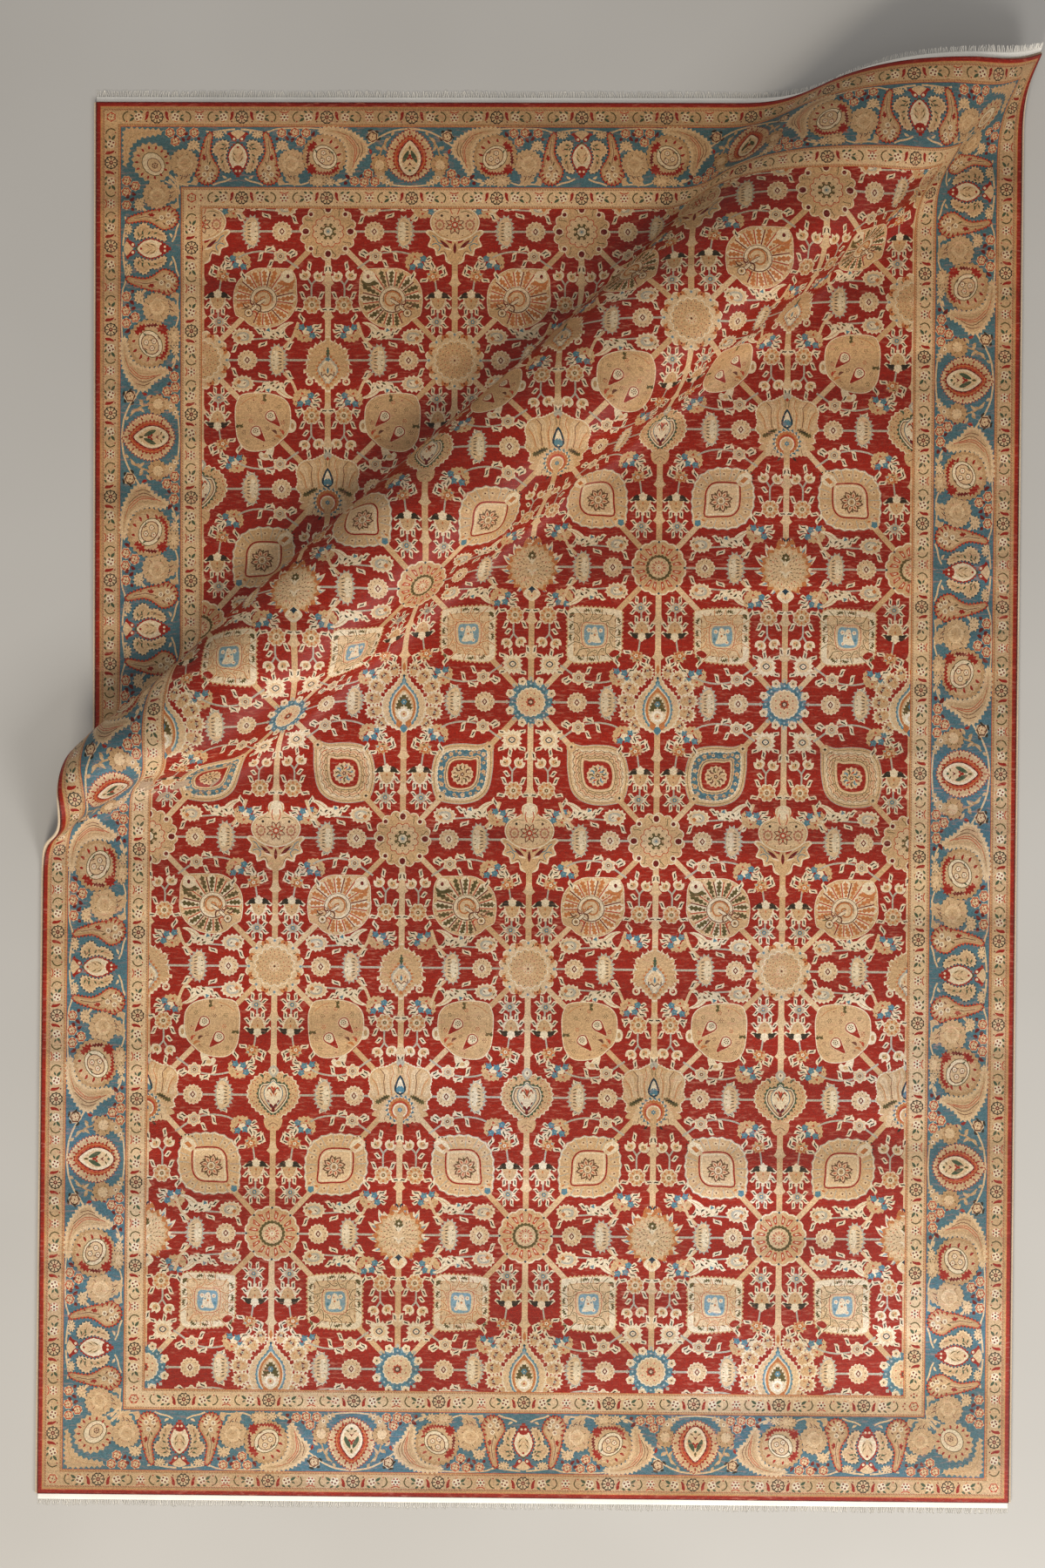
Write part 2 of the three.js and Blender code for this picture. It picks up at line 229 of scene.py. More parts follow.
def cone():
    m = sprigs(-12, -5, -29, -13, -0.25, 12, -5, 29, -13, 0.25, -7, -12, -15, -30, -0.2,
               7, -12, 15, -30, 0.2, -14, 9, -29, 7, -0.25, 14, 9, 29, 7, 0.25)
    body = curve(-18, 11, -16, -3, -11, -14, -4, -19, 0, -26, 4, -19, 11, -14, 16, -3,
                 18, 11, 9, 17, 0, 23, -9, 17)
    m += [(toothed(body, 15, 4), "cream"), (grown(body, -3.4), "beige")]
    m += twins([(curve(5, 12, 12, 19, 20, 13, 22, 5, 15, 7, 9, 6), "dark"),
                (stroke(at(3, 2, 9, -2, 7, -12), 1.1, 1), "tan"), dot("rust", 11 - 1j, 1.2)])
    return m + [(curve(-8, 13, 0, 25, 8, 13, 4, 7, -4, 7), "cream"),
                (at(-2.2, 1, 0, 5, 2.2, 1, 0, -3), "orange"), dot("brown", -9j, 1.6)]


def marigold():
    m = sprigs(-8, 2, -30, 2, 0.25, 0, 10, 4, 34, 0.2, -7, 8, -20, 24, -0.2, 10, -4, 28, -14, -0.2)
    m += [(toothed(oval(0, 14, 12, 12), 9, 4.5), "beige"), (spiky(1 - 2j, 10.5, 7, 0.4), "orange"),
          (spiky(1 - 2j, 5, 5, 0.4), "cream")]
    m += [(leaf(-10 - 4j, -3 - 8j, 3, 0, 2), "rust"), (leaf(-6 + 8j, 2 + 7j, 3, 0, 2), "olive"),
          (leaf(6 + 4j, 12 + 2j, 3, 0, 2), "blue")]
    return m + [dot("brown", 1 - 2j, 1.6)]


def lobed():
    m = sprigs(-11, -12, -27, -27, -0.2, 11, -12, 27, -27, 0.2, 16, 6, 35, 13, 0.25,
               -16, 6, -35, 13, -0.25)
    m += [(scallop(0, 19.5, 8, 0.18, 3), "cream"), (scallop(0, 17.3, 8, 0.18, 2), "beige")]
    m += around([(at(8, 0, 12, -2.4, 16, 0, 12, 2.4), "orange")], 8)
    return m + [(scallop(0, 8, 8, 0.15, 2), "cream"), (scallop(0, 5.4, 6, 0.15, 2), "tan"),
                dot("olive", 0, 3.4, 6), dot("cream", 0, 1.6)]


def buds():
    # Two buds on a fork that opens downwards
    m = [(stroke(at(0, 44, 1, 20, 0, 2, -10, -8), 3.6, 2), "grey"),
         (stroke(at(0, 4, 9, -10), 3.6, 1), "grey")]
    for x, y, a in ((-15, -15, 2.5), (15, -18, -2.7)):
        one = [(curve(-12, -3, -8, -9, 0, -12, 8, -9, 12, -3, 9, 7, 4, 4, 0, 12, -4, 4, -9, 7), "cream"),
               (curve(-7, -3, 0, -9, 7, -3, 0, 4), "beige"), (leaf(-5 + 1j, 0 - 5j, 2.6, 0, 2), "olive"),
               (leaf(5 + 1j, 0 - 5j, 2.6, 0, 2), "orange")]
        m += placed(one, complex(x, y), a)
    return m + sprigs(-24, -20, -34, -38, -0.2, 3, -26, 8, -46, 0.2, 4, 12, 20, 4, 0.2)


def oak():
    m = sprigs(-14, 12, -28, 24, -0.2, 14, 12, 28, 24, 0.2, -14, -12, -28, -22, 0.2,
               14, -12, 28, -20, -0.2)
    m += [(toothed(curve(-16, -16, 15, -17, 18, 13, 0, 19, -16, 15, steps=3), 14, 5.5), "cream"),
          (toothed(oval(0, 13, 12, 12), 9, 2), "sand")]
    return m + [(curve(-8, 0, 0, 7, 8, 0, 0, -7), "ink"),
                (curve(-5.4, 0, 0, 4.6, 5.4, 0, 0, -4.6), "cream"), dot("rust", 0, 1.5)]


def heart():
    body = curve(-22, 3, -15, 14, 0, 17, 16, 13, 25, 2, 17, -12, 2, -16, -14, -13)
    m = [(toothed(body, 14, 4), "cream"), (grown(body, -3.6), "sand")]
    return m + [(curve(-12, 6, 4, 10, 14, 4, 12, -7, -2, -8), "grey"),
                (curve(-7, 4, 4, 6, 9, 1, 6, -5, -2, -5), "cream"),
                (at(-12, -2, -7, 2, -2, -3, -7, -8), "orange"),
                (leaf(2 + 2j, 8 - 3j, 2.4, 0, 2), "brown"),
                (leaf(-17 + 2j, -12 + 8j, 2.4, 0, 2), "olive")]


def leafy():
    body = curve(-18, 8, -10, 15, 0, 8, 8, 14, 17, 8, 15, -4, 6, -12, -3, -8, -15, -9)
    m = sprigs(-10, -4, -32, 8, 0.3, 10, 2, 38, -8, 0.28, 6, -6, 34, 22, -0.3, wide=10)
    m += [(curve(4, 8, 16, 20, 32, 26, 42, 24, 30, 18, 22, 8, 12, -2), "cream"),
          (toothed(body, 11, 2.5), "cream")]
    m += [(at(-16, 8, -9, 14, -7, 5), "sea"), dot("brown", 0, 2.4, 6),
          (stroke(at(10, 8, 20, 16, 32, 22), 1.4, 1), "tan")]
    return m + [(leaf(4 + 5j, 12 - 2j, 4, 0.2, 2), "dark"), (leaf(-8 - 3j, 2 - 8j, 4, 0, 2), "olive"),
                (leaf(4 - 4j, 11 - 9j, 2.6, 0, 2), "rust")]


def fivefold():
    m = sprigs(-11, -6, -32, -10, -0.22, 10, -10, 30, -22, -0.2, 12, 8, 28, 22, -0.22)
    m += [(scallop(0, 15.5, 6, 0.24, 3), "cream"), (scallop(0, 13, 6, 0.24, 2), "sand"),
          (scallop(0, 8.5, 6, 0.15, 2), "grey"), (scallop(0, 6.4, 6, 0.2, 2), "sand")]
    return m + [dot("brown", 0, 3.8, 6), dot("cream", 0, 1.7)]


# Rosettes and palmettes on the stems
def ring_rosette():
    m = [(scallop(0, 58, 16, 0.07, 3), "cream"), (scallop(0, 54.5, 16, 0.07, 3), "beige")]
    slot = [(at(29, 2.4, 44, 3.4, 47, 13, 41, 11, 29, 7.4), "rust"),
            (at(33, 4.6, 41, 5.2, 42, 9, 33, 6.6), "cream"), (at(38, 5, 43, 6, 43, 9, 39, 7), "orange")]
    m += around(slot + [(np.conj(p), c) for p, c in slot], 8, np.pi / 8)
    m += around([(at(50, 0, 53, 3, 56, 0, 53, -3), "ink"),
                 (stroke(at(29, 1.6, 50, 1.6), 0.9, 1), "tan")], 8)
    m += [(scallop(0, 28, 22, 0.1, 2), "olive"), (scallop(0, 21.5, 16, 0.06, 2), "sand")]
    m += around([(leaf(7.5, 15.5, 3.6, n=2), "rust"), (oval(11.5, 1, 0.7, 4), "cream")], 12)
    m += around([dot("brown", 18.5, 0.9)], 12, 0.26)
    return m + [dot("cream", 0, 5, 8), dot("rust", 0, 1.6, 5)]


def ornament_rosette():
    m = [(scallop(0, 62, 16, 0.12, 4), "cream"), (scallop(0, 59, 16, 0.12, 4), "sand")]
    bud = [(at(46, -7, 50, -3, 49, 0, 50, 3, 46, 7, 53, 8, 58, 4, 55, 0, 58, -4, 53, -8),
            "orange"), dot("deep", 52, 2, 5)]
    m += around(bud, 8, np.pi / 8) + around([dot("blue", 53, 3.0, 6), dot("brown", 53, 1.2)], 8)
    m += around([(leaf(44 + 7j, 52 + 10j, 2.4, 0.2, 2), "tan"),
                 (leaf(44 - 7j, 52 - 10j, 2.4, -0.2, 2), "olive")], 8)
    m += [(scallop(0, 43, 16, 0.12, 3), "cream"), (scallop(0, 40.5, 16, 0.12, 3), "beige")]
    m += around([(oval(35, 1.4, 1.4, 4), "ink")], 16, 0.2) + around([(oval(30, 1.6, 0.9, 4), "rust")], 20)
    m += around([(oval(25.5, 1.5, 1.0, 4), "brown")], 17, 0.1)
    m += around([(oval(20.5, 1.5, 1.0, 4), "rust")], 14)
    m += around([(oval(15.5, 1.3, 0.9, 4), "olive")], 11, 0.1) + [(scallop(0, 12, 8, 0.15, 3), "sand")]
    return m + around([(oval(8, 1.5, 1.0, 4), "rust")], 8) + [dot("brown", 0, 2.6, 6)]


def red_dot_rosette():
    m = [(scallop(0, 60, 16, 0.1, 4, 0.1), "cream"), (scallop(0, 57.5, 16, 0.1, 4, 0.1), "beige")]
    m += around([(oval(45, 1.4, 0.9, 4), "olive"), (oval(50 + 4j, 1.2, 0.9, 4), "brown"),
                 (oval(39, 1.2, 0.8, 4), "tan")], 18, 0.05)
    m += around([(oval(46, 9.5, 8.5, 8), "cream"), (oval(46, 7, 6.2, 8), "deep")], 4)
    m += around([(oval(50, 7, 7, 8), "cream"), (oval(50, 4.4, 4.4, 7), "deep")], 4, np.pi / 4)
    m += around([(stroke(at(37, 7, 43, 10, 49, 16, 52, 13), 1.4, 2), "olive"),
                 (stroke(at(37, -7, 43, -10, 49, -16, 52, -13), 1.4, 2), "tan")], 8)
    m += [(scallop(0, 34, 12, 0.14, 4), "rust"), (scallop(0, 32.4, 12, 0.15, 3), "sand")]
    m += around([dot("brown", 25, 1.6, 5), dot("rust", 29 + 2j, 1)], 12)
    m += [(scallop(0, 18, 8, 0.24, 3), "olive")]
    m += around([dot("sand", 13.8, 3, 6), dot("brown", 14.2, 1.0)], 8)
    m += [(scallop(0, 9.5, 8, 0.12, 2), "cream")]
    return m + [dot("grey", 0, 5.6, 8), dot("sea", 0, 2.2, 6)]


def blue_rosette():
    floret = [(scallop(46, 9.5, 5, 0.22, 3), "cream"), dot("sand", 46, 5, 7), dot("dark", 46, 2, 5)]
    m = around([(toothed(curve(24, 8, 36, 16, 44, 10, 47, 0, 44, -10, 36, -16, 24, -8), 12, 4), "sea")],
               8, np.pi / 8)
    m += around([(toothed(curve(27, 5, 42, 5, 46, 0, 42, -5, 27, -5), 8, 3), "teal"),
                 (oval(38, 2.6, 3.4, 6), "blue"), dot("cream", 38, 1.2)], 8)
    m += around([(leaf(34 + 4j, 41 + 7j, 3, 0, 2), "blue"),
                 (leaf(34 - 4j, 41 - 7j, 3, 0, 2), "cream")], 8, np.pi / 8)
    m += around(floret, 8, np.pi / 8) + around([(spiky(49, 4.6, 4, 0.3), "grey")], 8)
    m += [(scallop(0, 31, 18, 0.08, 3), "cream"), (scallop(0, 28.5, 18, 0.08, 2), "sand")]
    m += around([dot("rust", 19, 1.7, 5)], 8, 0.39) + around([dot("tan", 24.5, 1.1)], 16)
    m += around([dot("olive", 15, 0.9)], 8)
    return m + [(spiky(0, 11, 8, 0.28), "rust"), (scallop(0, 7, 6, 0.15, 2), "brown"),
                dot("cream", 0, 3, 6), dot("deep", 0, 1.2)]


def flame_palmette():
    m = []
    for a, r in ((20, 64), (48, 62), (78, 60), (-8, 60), (-34, 60), (-62, 56)):
        w = np.exp(1j * np.radians(a))
        flame = curve(30, -12, 46, -13, 58, -8, 71, 4, 57, 3, 60, 10, 46, 10, 32, 12) * r / 66
        inside = curve(34, -9, 50, -9, 61, -2, 50, 1, 52, 6, 36, 8) * r / 66
        m += [(flame * w, "cream"), (inside * w, "orange")]
        m += [(leaf((46 - 3j) * w, (60 - 1j) * w, 3.6, 0, 2), "blue")]
        m += [(leaf((38 + 4j) * w, (47 + 5j) * w, 2.6, 0, 2), "beige")]
    m = twins(m)
    m += [(toothed(oval(-2j, 50, 52, 24), 15, 11), "orange"),
          (toothed(oval(-2j, 45, 47, 24), 20, 7), "beige")]
    m += [(toothed(oval(-2j, 40, 42, 24), 22, 5), "sand")]
    rng = np.random.default_rng(3)
    for k, r, tone in ((22, 37, "orange"), (20, 31, "rust"), (17, 25, "brown"),
                       (14, 19, "tan"), (10, 13, "brown")):
        for i in range(k):
            w = np.exp(1j * (i + rng.uniform(-0.2, 0.2)) * 2 * np.pi / k)
            m.append((leaf((r - 3) * w - 2j, (r + 3 + 2j) * w - 2j, 1.8, 0.3, 2),
                      tone if i % 3 else "olive"))
    m += twins([(leaf(4j, 13 + 20j, 6, 0.2), "cream"), (leaf(-20j, 14 - 4j, 5, 0.2), "cream"),
                (leaf(-30j, 16 - 18j, 4, 0.2), "beige")])
    m += [(toothed(curve(-8, 25, 0, 33, 8, 25, 5, 14, 0, 18, -5, 14), 7, 3), "olive"),
          dot("cream", 23j, 2.6, 6)]
    m += [(curve(-18, -57, -11, -46, 0, -42, 11, -46, 18, -57, 8, -68, 0, -71, -8, -68, steps=3),
           "cream"), (curve(-11, -56, 0, -47, 11, -56, 0, -66), "sand"),
          (at(-8, -47, 0, -40, 8, -47, 4, -49, 0, -55, -4, -49), "ink"), dot("rust", -60j, 1.8)]
    return m + [(at(-14, 62, -20, 50, 20, 50, 14, 62, 6, 56, 0, 66, -6, 56), "orange"),
                (at(-9, 64, 0, 53, 9, 64, 4, 64, 0, 58, -4, 64), "ink"),
                (at(-3, 53, 0, 58, 3, 53, 0, 50), "cream")]


def jagged_palmette():
    half = at(0, 52, 5, 45, 7, 38, 17, 42, 17, 33, 29, 35, 27, 26, 45, 23, 37, 14, 46, 8, 38, 2, 50, -8,
              41, -12, 53, -25, 42, -27, 44, -37, 30, -37, 22, -48, 12, -56, 0, -68)
    outline = np.concatenate([half, -np.conj(half)[::-1][1:-1]])
    m = twins([dot("cream", 38 - 44j, 8.5, 10), dot("red", 38 - 44j, 4.4, 8),
               dot("sand", 37 - 43j, 2.4, 5)])
    m += [(toothed(outline, 46, 4), "cream"), (toothed(outline * 0.93, 42, 3.4), "beige")]
    for points in ((6, 34, 10, 26, 20, 30), (8, 24, 18, 18, 28, 24), (12, 16, 24, 12, 36, 18),
                   (16, 6, 28, 4, 40, 8), (22, -4, 32, -4, 42, -8), (24, -12, 34, -14, 44, -20),
                   (24, -20, 34, -22, 42, -26), (20, -30, 28, -30, 36, -32)):
        m += twins([(stroke(at(*points), 1.2, 1), "tan"),
                    dot("rust", complex(points[4] - 3, points[5] - 3), 1.1)])
    core = smooth(even(0, 18, 8, 6, 22, -10, 24, -26, 14, -38, 0, -58), 2)
    m += [(toothed(core, 22, 6), "orange"), (toothed(grown(core, -3), 20, 2), "grey"),
          (grown(core, -6.5), "cream"), (grown(core, -10), "sand"),
          (toothed(leaf(4j, 28j, 7), 8, 2), "green")]
    m += [(spiky(2j, 6, 5, 0.4), "sea"),
          (stroke(at(-13, -24, -12, -32, -6, -28, 0, -34, 6, -28, 12, -32, 13, -24), 2.2, 2), "brown")]
    m += [(leaf(-28j, -14j, 4.5), "sea")]
    m += twins([(stroke(at(3, -38, 8, -44, 3, -56), 1.2, 2), "tan"),
                (leaf(7 - 24j, 9 - 16j, 3, 0, 2), "orange")])
    return m


def cartouche_palmette():
    # The two wings below, then the flowered shield above them
    m = twins([(curve(14, -22, 30, -8, 52, 4, 60, -2, 50, -14, 56, -30, 42, -36, 38, -50, 22, -46,
                      18, -62, 0, -66, 0, -30, steps=3), "cream"),
               (curve(14, -22, 30, -11, 50, 1, 55, -3, 47, -14, 52, -28, 39, -34, 35, -46, 21, -43,
                      14, -60, 0, -62, 0, -30, steps=3), "beige"),
               (stroke(at(20, -20, 32, -12, 44, -3, 52, -3), 1.4, 2), "tan"),
               (stroke(at(22, -26, 34, -22, 40, -12, 47, -8), 1.8, 2), "sea"),
               (stroke(at(34, -40, 30, -31, 38, -24, 47, -27), 1.8, 2), "sea"),
               (stroke(at(16, -52, 22, -40, 30, -42), 1.4, 2), "brown"),
               (stroke(at(6, -42, 12, -50, 6, -58), 1.4, 2), "tan"), dot("rust", 44 - 20j, 1.5)])
    shield = curve(-15, 70, -19, 52, -40, 42, -51, 24, -47, 4, -30, -12, 0, -20, 30, -12, 47, 4, 51, 24,
                   40, 42, 19, 52, 15, 70, 0, 76, steps=3)
    m += [(shield, "cream"), (grown(shield, -2.6), "beige"), (grown(shield, -5), "sand"),
          (curve(-10, 70, -12, 54, 0, 46, 12, 54, 10, 70, 0, 73), "cream")]
    m += twins([(toothed(oval(31 + 14j, 10, 12, 12), 10, 3), "rose"), (oval(31 + 14j, 7, 8, 8), "sand"),
                (spiky(31 + 14j, 5, 5, 0.3), "tan"), dot("dark", 27 + 33j, 3, 6),
                dot("rust", 40 + 26j, 1.8, 5), dot("rust", 34 - 1j, 1.8, 5), dot("brown", 16 - 8j, 1.6),
                (stroke(at(5, 36, 9, 46, 7, 58), 1.8, 2), "rust"), (leaf(15 + 52j, 21 + 64j, 4), "rust"),
                (stroke(at(12, 40, 24, 42, 36, 36), 1.3, 2), "olive"),
                (stroke(at(14, -12, 26, -8, 36, 0), 1.2, 1), "tan")])
    flower = around([(leaf(5, 21, 9, n=3), "brown"), (leaf(7, 18, 5.4, n=3), "sand")], 8,
                    np.pi / 8) + around([(leaf(8, 15, 3, n=2), "rust")], 8)
    m += placed(flower, 14j) + [(scallop(14j, 7, 6, 0.15, 3), "rust"), dot("cream", 14j, 3.4, 6)]
    m += [(leaf(-46j, -22j, 7), "deep")]
    m += twins([(leaf(10 - 36j, 32 - 16j, 7), "deep"), (leaf(6 - 38j, 24 - 32j, 4), "cream")])
    return m + [(curve(-9, -62, 0, -74, 9, -62, 0, -52), "beige"),
                (stroke(at(-5, -64, 0, -58, 5, -64), 1.2, 1), "tan")]


def chevron_palmette():
    body = smooth(even(0, 50, 22, 46, 44, 32, 54, 8, 50, -16, 34, -34, 16, -46, 0, -52), 3)
    m = [(toothed(body, 28, 4), "cream"), (toothed(grown(body, -2.5), 28, 3), "beige")]
    for scale, n, tone in ((0.86, 30, "rust"), (0.75, 24, "brown"), (0.66, 20, "orange")):
        p = body * scale
        m += [dot(tone, p[int(i * len(p) / n)] + 2j, 1.6) for i in range(n)]
    lyre = smooth(even(0, 44, 9, 28, 26, 24, 34, 2, 25, -20, 0, -42), 3)
    m += [(toothed(lyre, 26, 4), "green"), (grown(lyre, -3.6), "cream"), (grown(lyre, -6), "brown"),
          (grown(lyre, -8), "sand")]
    inner = smooth(even(0, 30, 10, 22, 18, 14, 20, 0, 14, -14, 0, -30), 2)
    m += [(inner, "teal"), (grown(inner, -1.6), "cream")]
    m += [(toothed(at(-13, -8, 0, -24, 13, -8, 0, -36), 10, 2.5), "deep"),
          (toothed(at(-5, 20, -3, 8, 0, -4, 3, 8, 5, 20, 0, 14), 7, 2), "rust")]
    m += twins([(stroke(at(1, 4, 8, 16, 13, 8), 2.2, 2), "brown"), dot("rust", 9 + 14j, 2.4, 5),
                (leaf(4 - 4j, 9 + 6j, 3, 0.2, 2), "orange"),
                (leaf(20 + 34j, 30 + 42j, 5, 0.2, 3), "green")])
    m += [(smooth(even(0, 62, 11, 52, 7, 42, 0, 36), 2), "grey"),
          (curve(0, 56, 6, 50, 0, 42, -6, 50), "cream"), (at(-2, 50, 0, 53, 2, 50, 0, 47), "brown")]
    m += [(curve(-15, -46, 15, -46, 19, -56, 11, -72, -11, -72, -19, -56), "beige")]
    return m + [(stroke(at(-12, -56, 0, -50, 12, -56), 1.3, 2), "tan"),
                (stroke(at(-10, -63, 0, -57, 10, -63), 1.3, 2), "brown"), dot("rust", -67j, 1.6)]


def fan_palmette():
    whole = smooth(even(0, 74, 14, 70, 30, 62, 46, 60, 60, 50, 66, 34, 62, 16, 66, 0, 56, -12, 60, -26,
                        44, -32, 34, -48, 0, -58), 3)
    m = [(toothed(whole, 64, 2), "cream"), (grown(whole, -2.5), "beige")]
    m += twins([(curve(7, 8, 11, 34, 7, 50, 12, 64, 18, 52, 17, 32, 15, 8), "sand"),
                (curve(20, 4, 24, 30, 22, 46, 31, 58, 37, 52, 31, 36, 28, 6), "sand"),
                (curve(34, 4, 40, 26, 42, 44, 52, 50, 58, 40, 49, 30, 42, 4), "sand"),
                (curve(47, 2, 53, 18, 60, 24, 62, 12, 56, 0), "sand"),
                (stroke(at(17, 2, 20, 30, 14, 48, 18, 62), 1.4, 2), "orange"),
                (stroke(at(31, 4, 34, 30, 32, 44, 42, 56), 1.4, 2), "brown"),
                (stroke(at(44, 2, 48, 22, 58, 36), 1.4, 2), "orange"),
                (stroke(at(11, 12, 14, 34, 10, 50), 1.0, 2), "tan"),
                (stroke(at(25, 10, 28, 32, 26, 46), 1.0, 2), "tan"),
                (stroke(at(39, 10, 44, 30, 50, 42), 1.0, 2), "tan"),
                (stroke(at(50, 6, 56, 18), 1.0, 1), "tan"),
                (stroke(at(3, 46, 4, 60, 8, 70), 1.2, 2), "olive")])
    m += twins([(toothed(curve(20, 1, 30, 2, 42, -6, 52, -10, 46, -17, 34, -10, 24, -4), 14, 3.4),
                 "olive"), (leaf(24 - 2j, 44 - 11j, 2.6, 0.1, 3), "dark"),
                (curve(34, -26, 52, -30, 58, -40, 40, -42), "beige"),
                (curve(30, -40, 42, -44, 44, -54, 32, -52), "sand")])
    m += [(toothed(curve(-38, -52, -37, -24, -20, -3, 0, 5, 20, -3, 37, -24, 38, -52, steps=3), 26, 4),
           "sand")]
    m += [(spiky(-26j, 31, 18, 0.2, 0.1), "teal"), (scallop(-26j, 26, 18, 0.08, 2), "cream"),
          (spiky(-26j, 25, 20, 0.12), "orange"), dot("rust", -27j, 18.5, 16),
          dot("cream", -29j, 15.5, 14), (at(-7, -40, 7, -40, 5, -72, -5, -72), "beige")]
    m += [dot("beige", -29j, 12.5, 12), (toothed(oval(-28j, 5, n=8), 6, 2.6), "sea"),
          dot("cream", -28j, 1.4)]
    m += twins([(stroke(at(24, -44, 30, -40, 32, -50), 1.3, 1), "brown"),
                (leaf(12 - 56j, 20 - 64j, 5, 0, 2), "dark")])
    return m + [(smooth(even(0, 44, 9, 28, 12, 12, 0, 2), 2), "ink"),
                (smooth(even(0, 38, 6, 24, 7, 14, 0, 6), 2), "cream"),
                (curve(1, 22, 8, 16, 7, 8, 0, 10), "sea"), (curve(-1, 22, -8, 16, -7, 8, 0, 10), "sea"),
                (curve(0, 78, 9, 68, 0, 60, -9, 68), "grey"), (at(-4, 62, 0, 67, 4, 62, 0, 58), "rust")]


def pear_palmette():
    # Serrated leaves in a ring, each with two red gaps, round a pear
    m = []
    for x, y, r, a in ((20, 64, 15, 1.3), (40, 50, 18, 0.9), (56, 30, 19, 0.5), (63, 5, 19, 0.1),
                       (60, -22, 18, -0.3), (44, -44, 16, -0.8)):
        one = [(toothed(curve(-16, -8, 0, -14, 14, -12, 19, 0, 14, 12, 0, 14, -16, 8) * r / 18, 13, 5.4),
                "cream"), (toothed(curve(-14, -6, 0, -10, 11, -8, 14, 0, 11, 8, 0, 10, -14, 6) * r / 18,
                                   11, 3), "beige"), (leaf(1 - 9j, 9 - 4j, 4, 0.3, 2), "deep"),
               (leaf(9 + 4j, 1 + 9j, 4, 0.3, 2), "deep"), dot("grey", 3, 3.4, 6), dot("olive", 3, 1.6, 5),
               (leaf(-9 + 3j, -3 + 5j, 2.4, 0, 2), "orange")]
        m += placed(one, complex(x, y), a)
    m = twins(m)
    body = smooth(even(0, 74, 7, 52, 18, 34, 37, 14, 45, -12, 37, -40, 22, -54, 0, -60), 3)
    m += [(toothed(body * 1.04, 36, 3), "cream"), (toothed(body * 0.97, 36, 2), "sand")]
    m += [dot("tan", body[k] * 0.86, 1.3) for k in range(0, len(body), 2)]
    drop = smooth(even(0, 56, 6, 36, 24, 14, 31, -10, 27, -34, 14, -52, 0, -58), 3)
    m += [(toothed(drop, 30, 2.4), "sea"), (grown(drop, -2.4), "blue"), (grown(drop, -4.5), "cream"),
          (grown(drop, -6.5), "orange"), (grown(drop, -11), "beige")]
    m += [(toothed(smooth(even(0, 20, 12, 4, 18, -14, 14, -38, 0, -50), 2), 22, 2.4), "cream")]
    m += [(toothed(smooth(even(0, 14, 14, -4, 16, -20, 6, -14, 0, -8), 2), 16, 4), "olive"),
          (spiky(-2j, 7, 6, 0.3), "sea"), dot("cream", -2j, 1.8)]
    m += [(scallop(-27j, 12, 10, 0.12, 3), "white"), dot("sand", -27j, 7, 8), dot("rust", -27j, 2.4, 5)]
    m += twins([(at(3, -44, 14, -36, 16, -50, 6, -58), "orange")])
    return m + [(leaf(60j, 80j, 7), "orange"), dot("ink", 52j, 2.6, 6),
                (curve(-8, -56, 0, -66, 8, -56, 0, -48), "sea")]


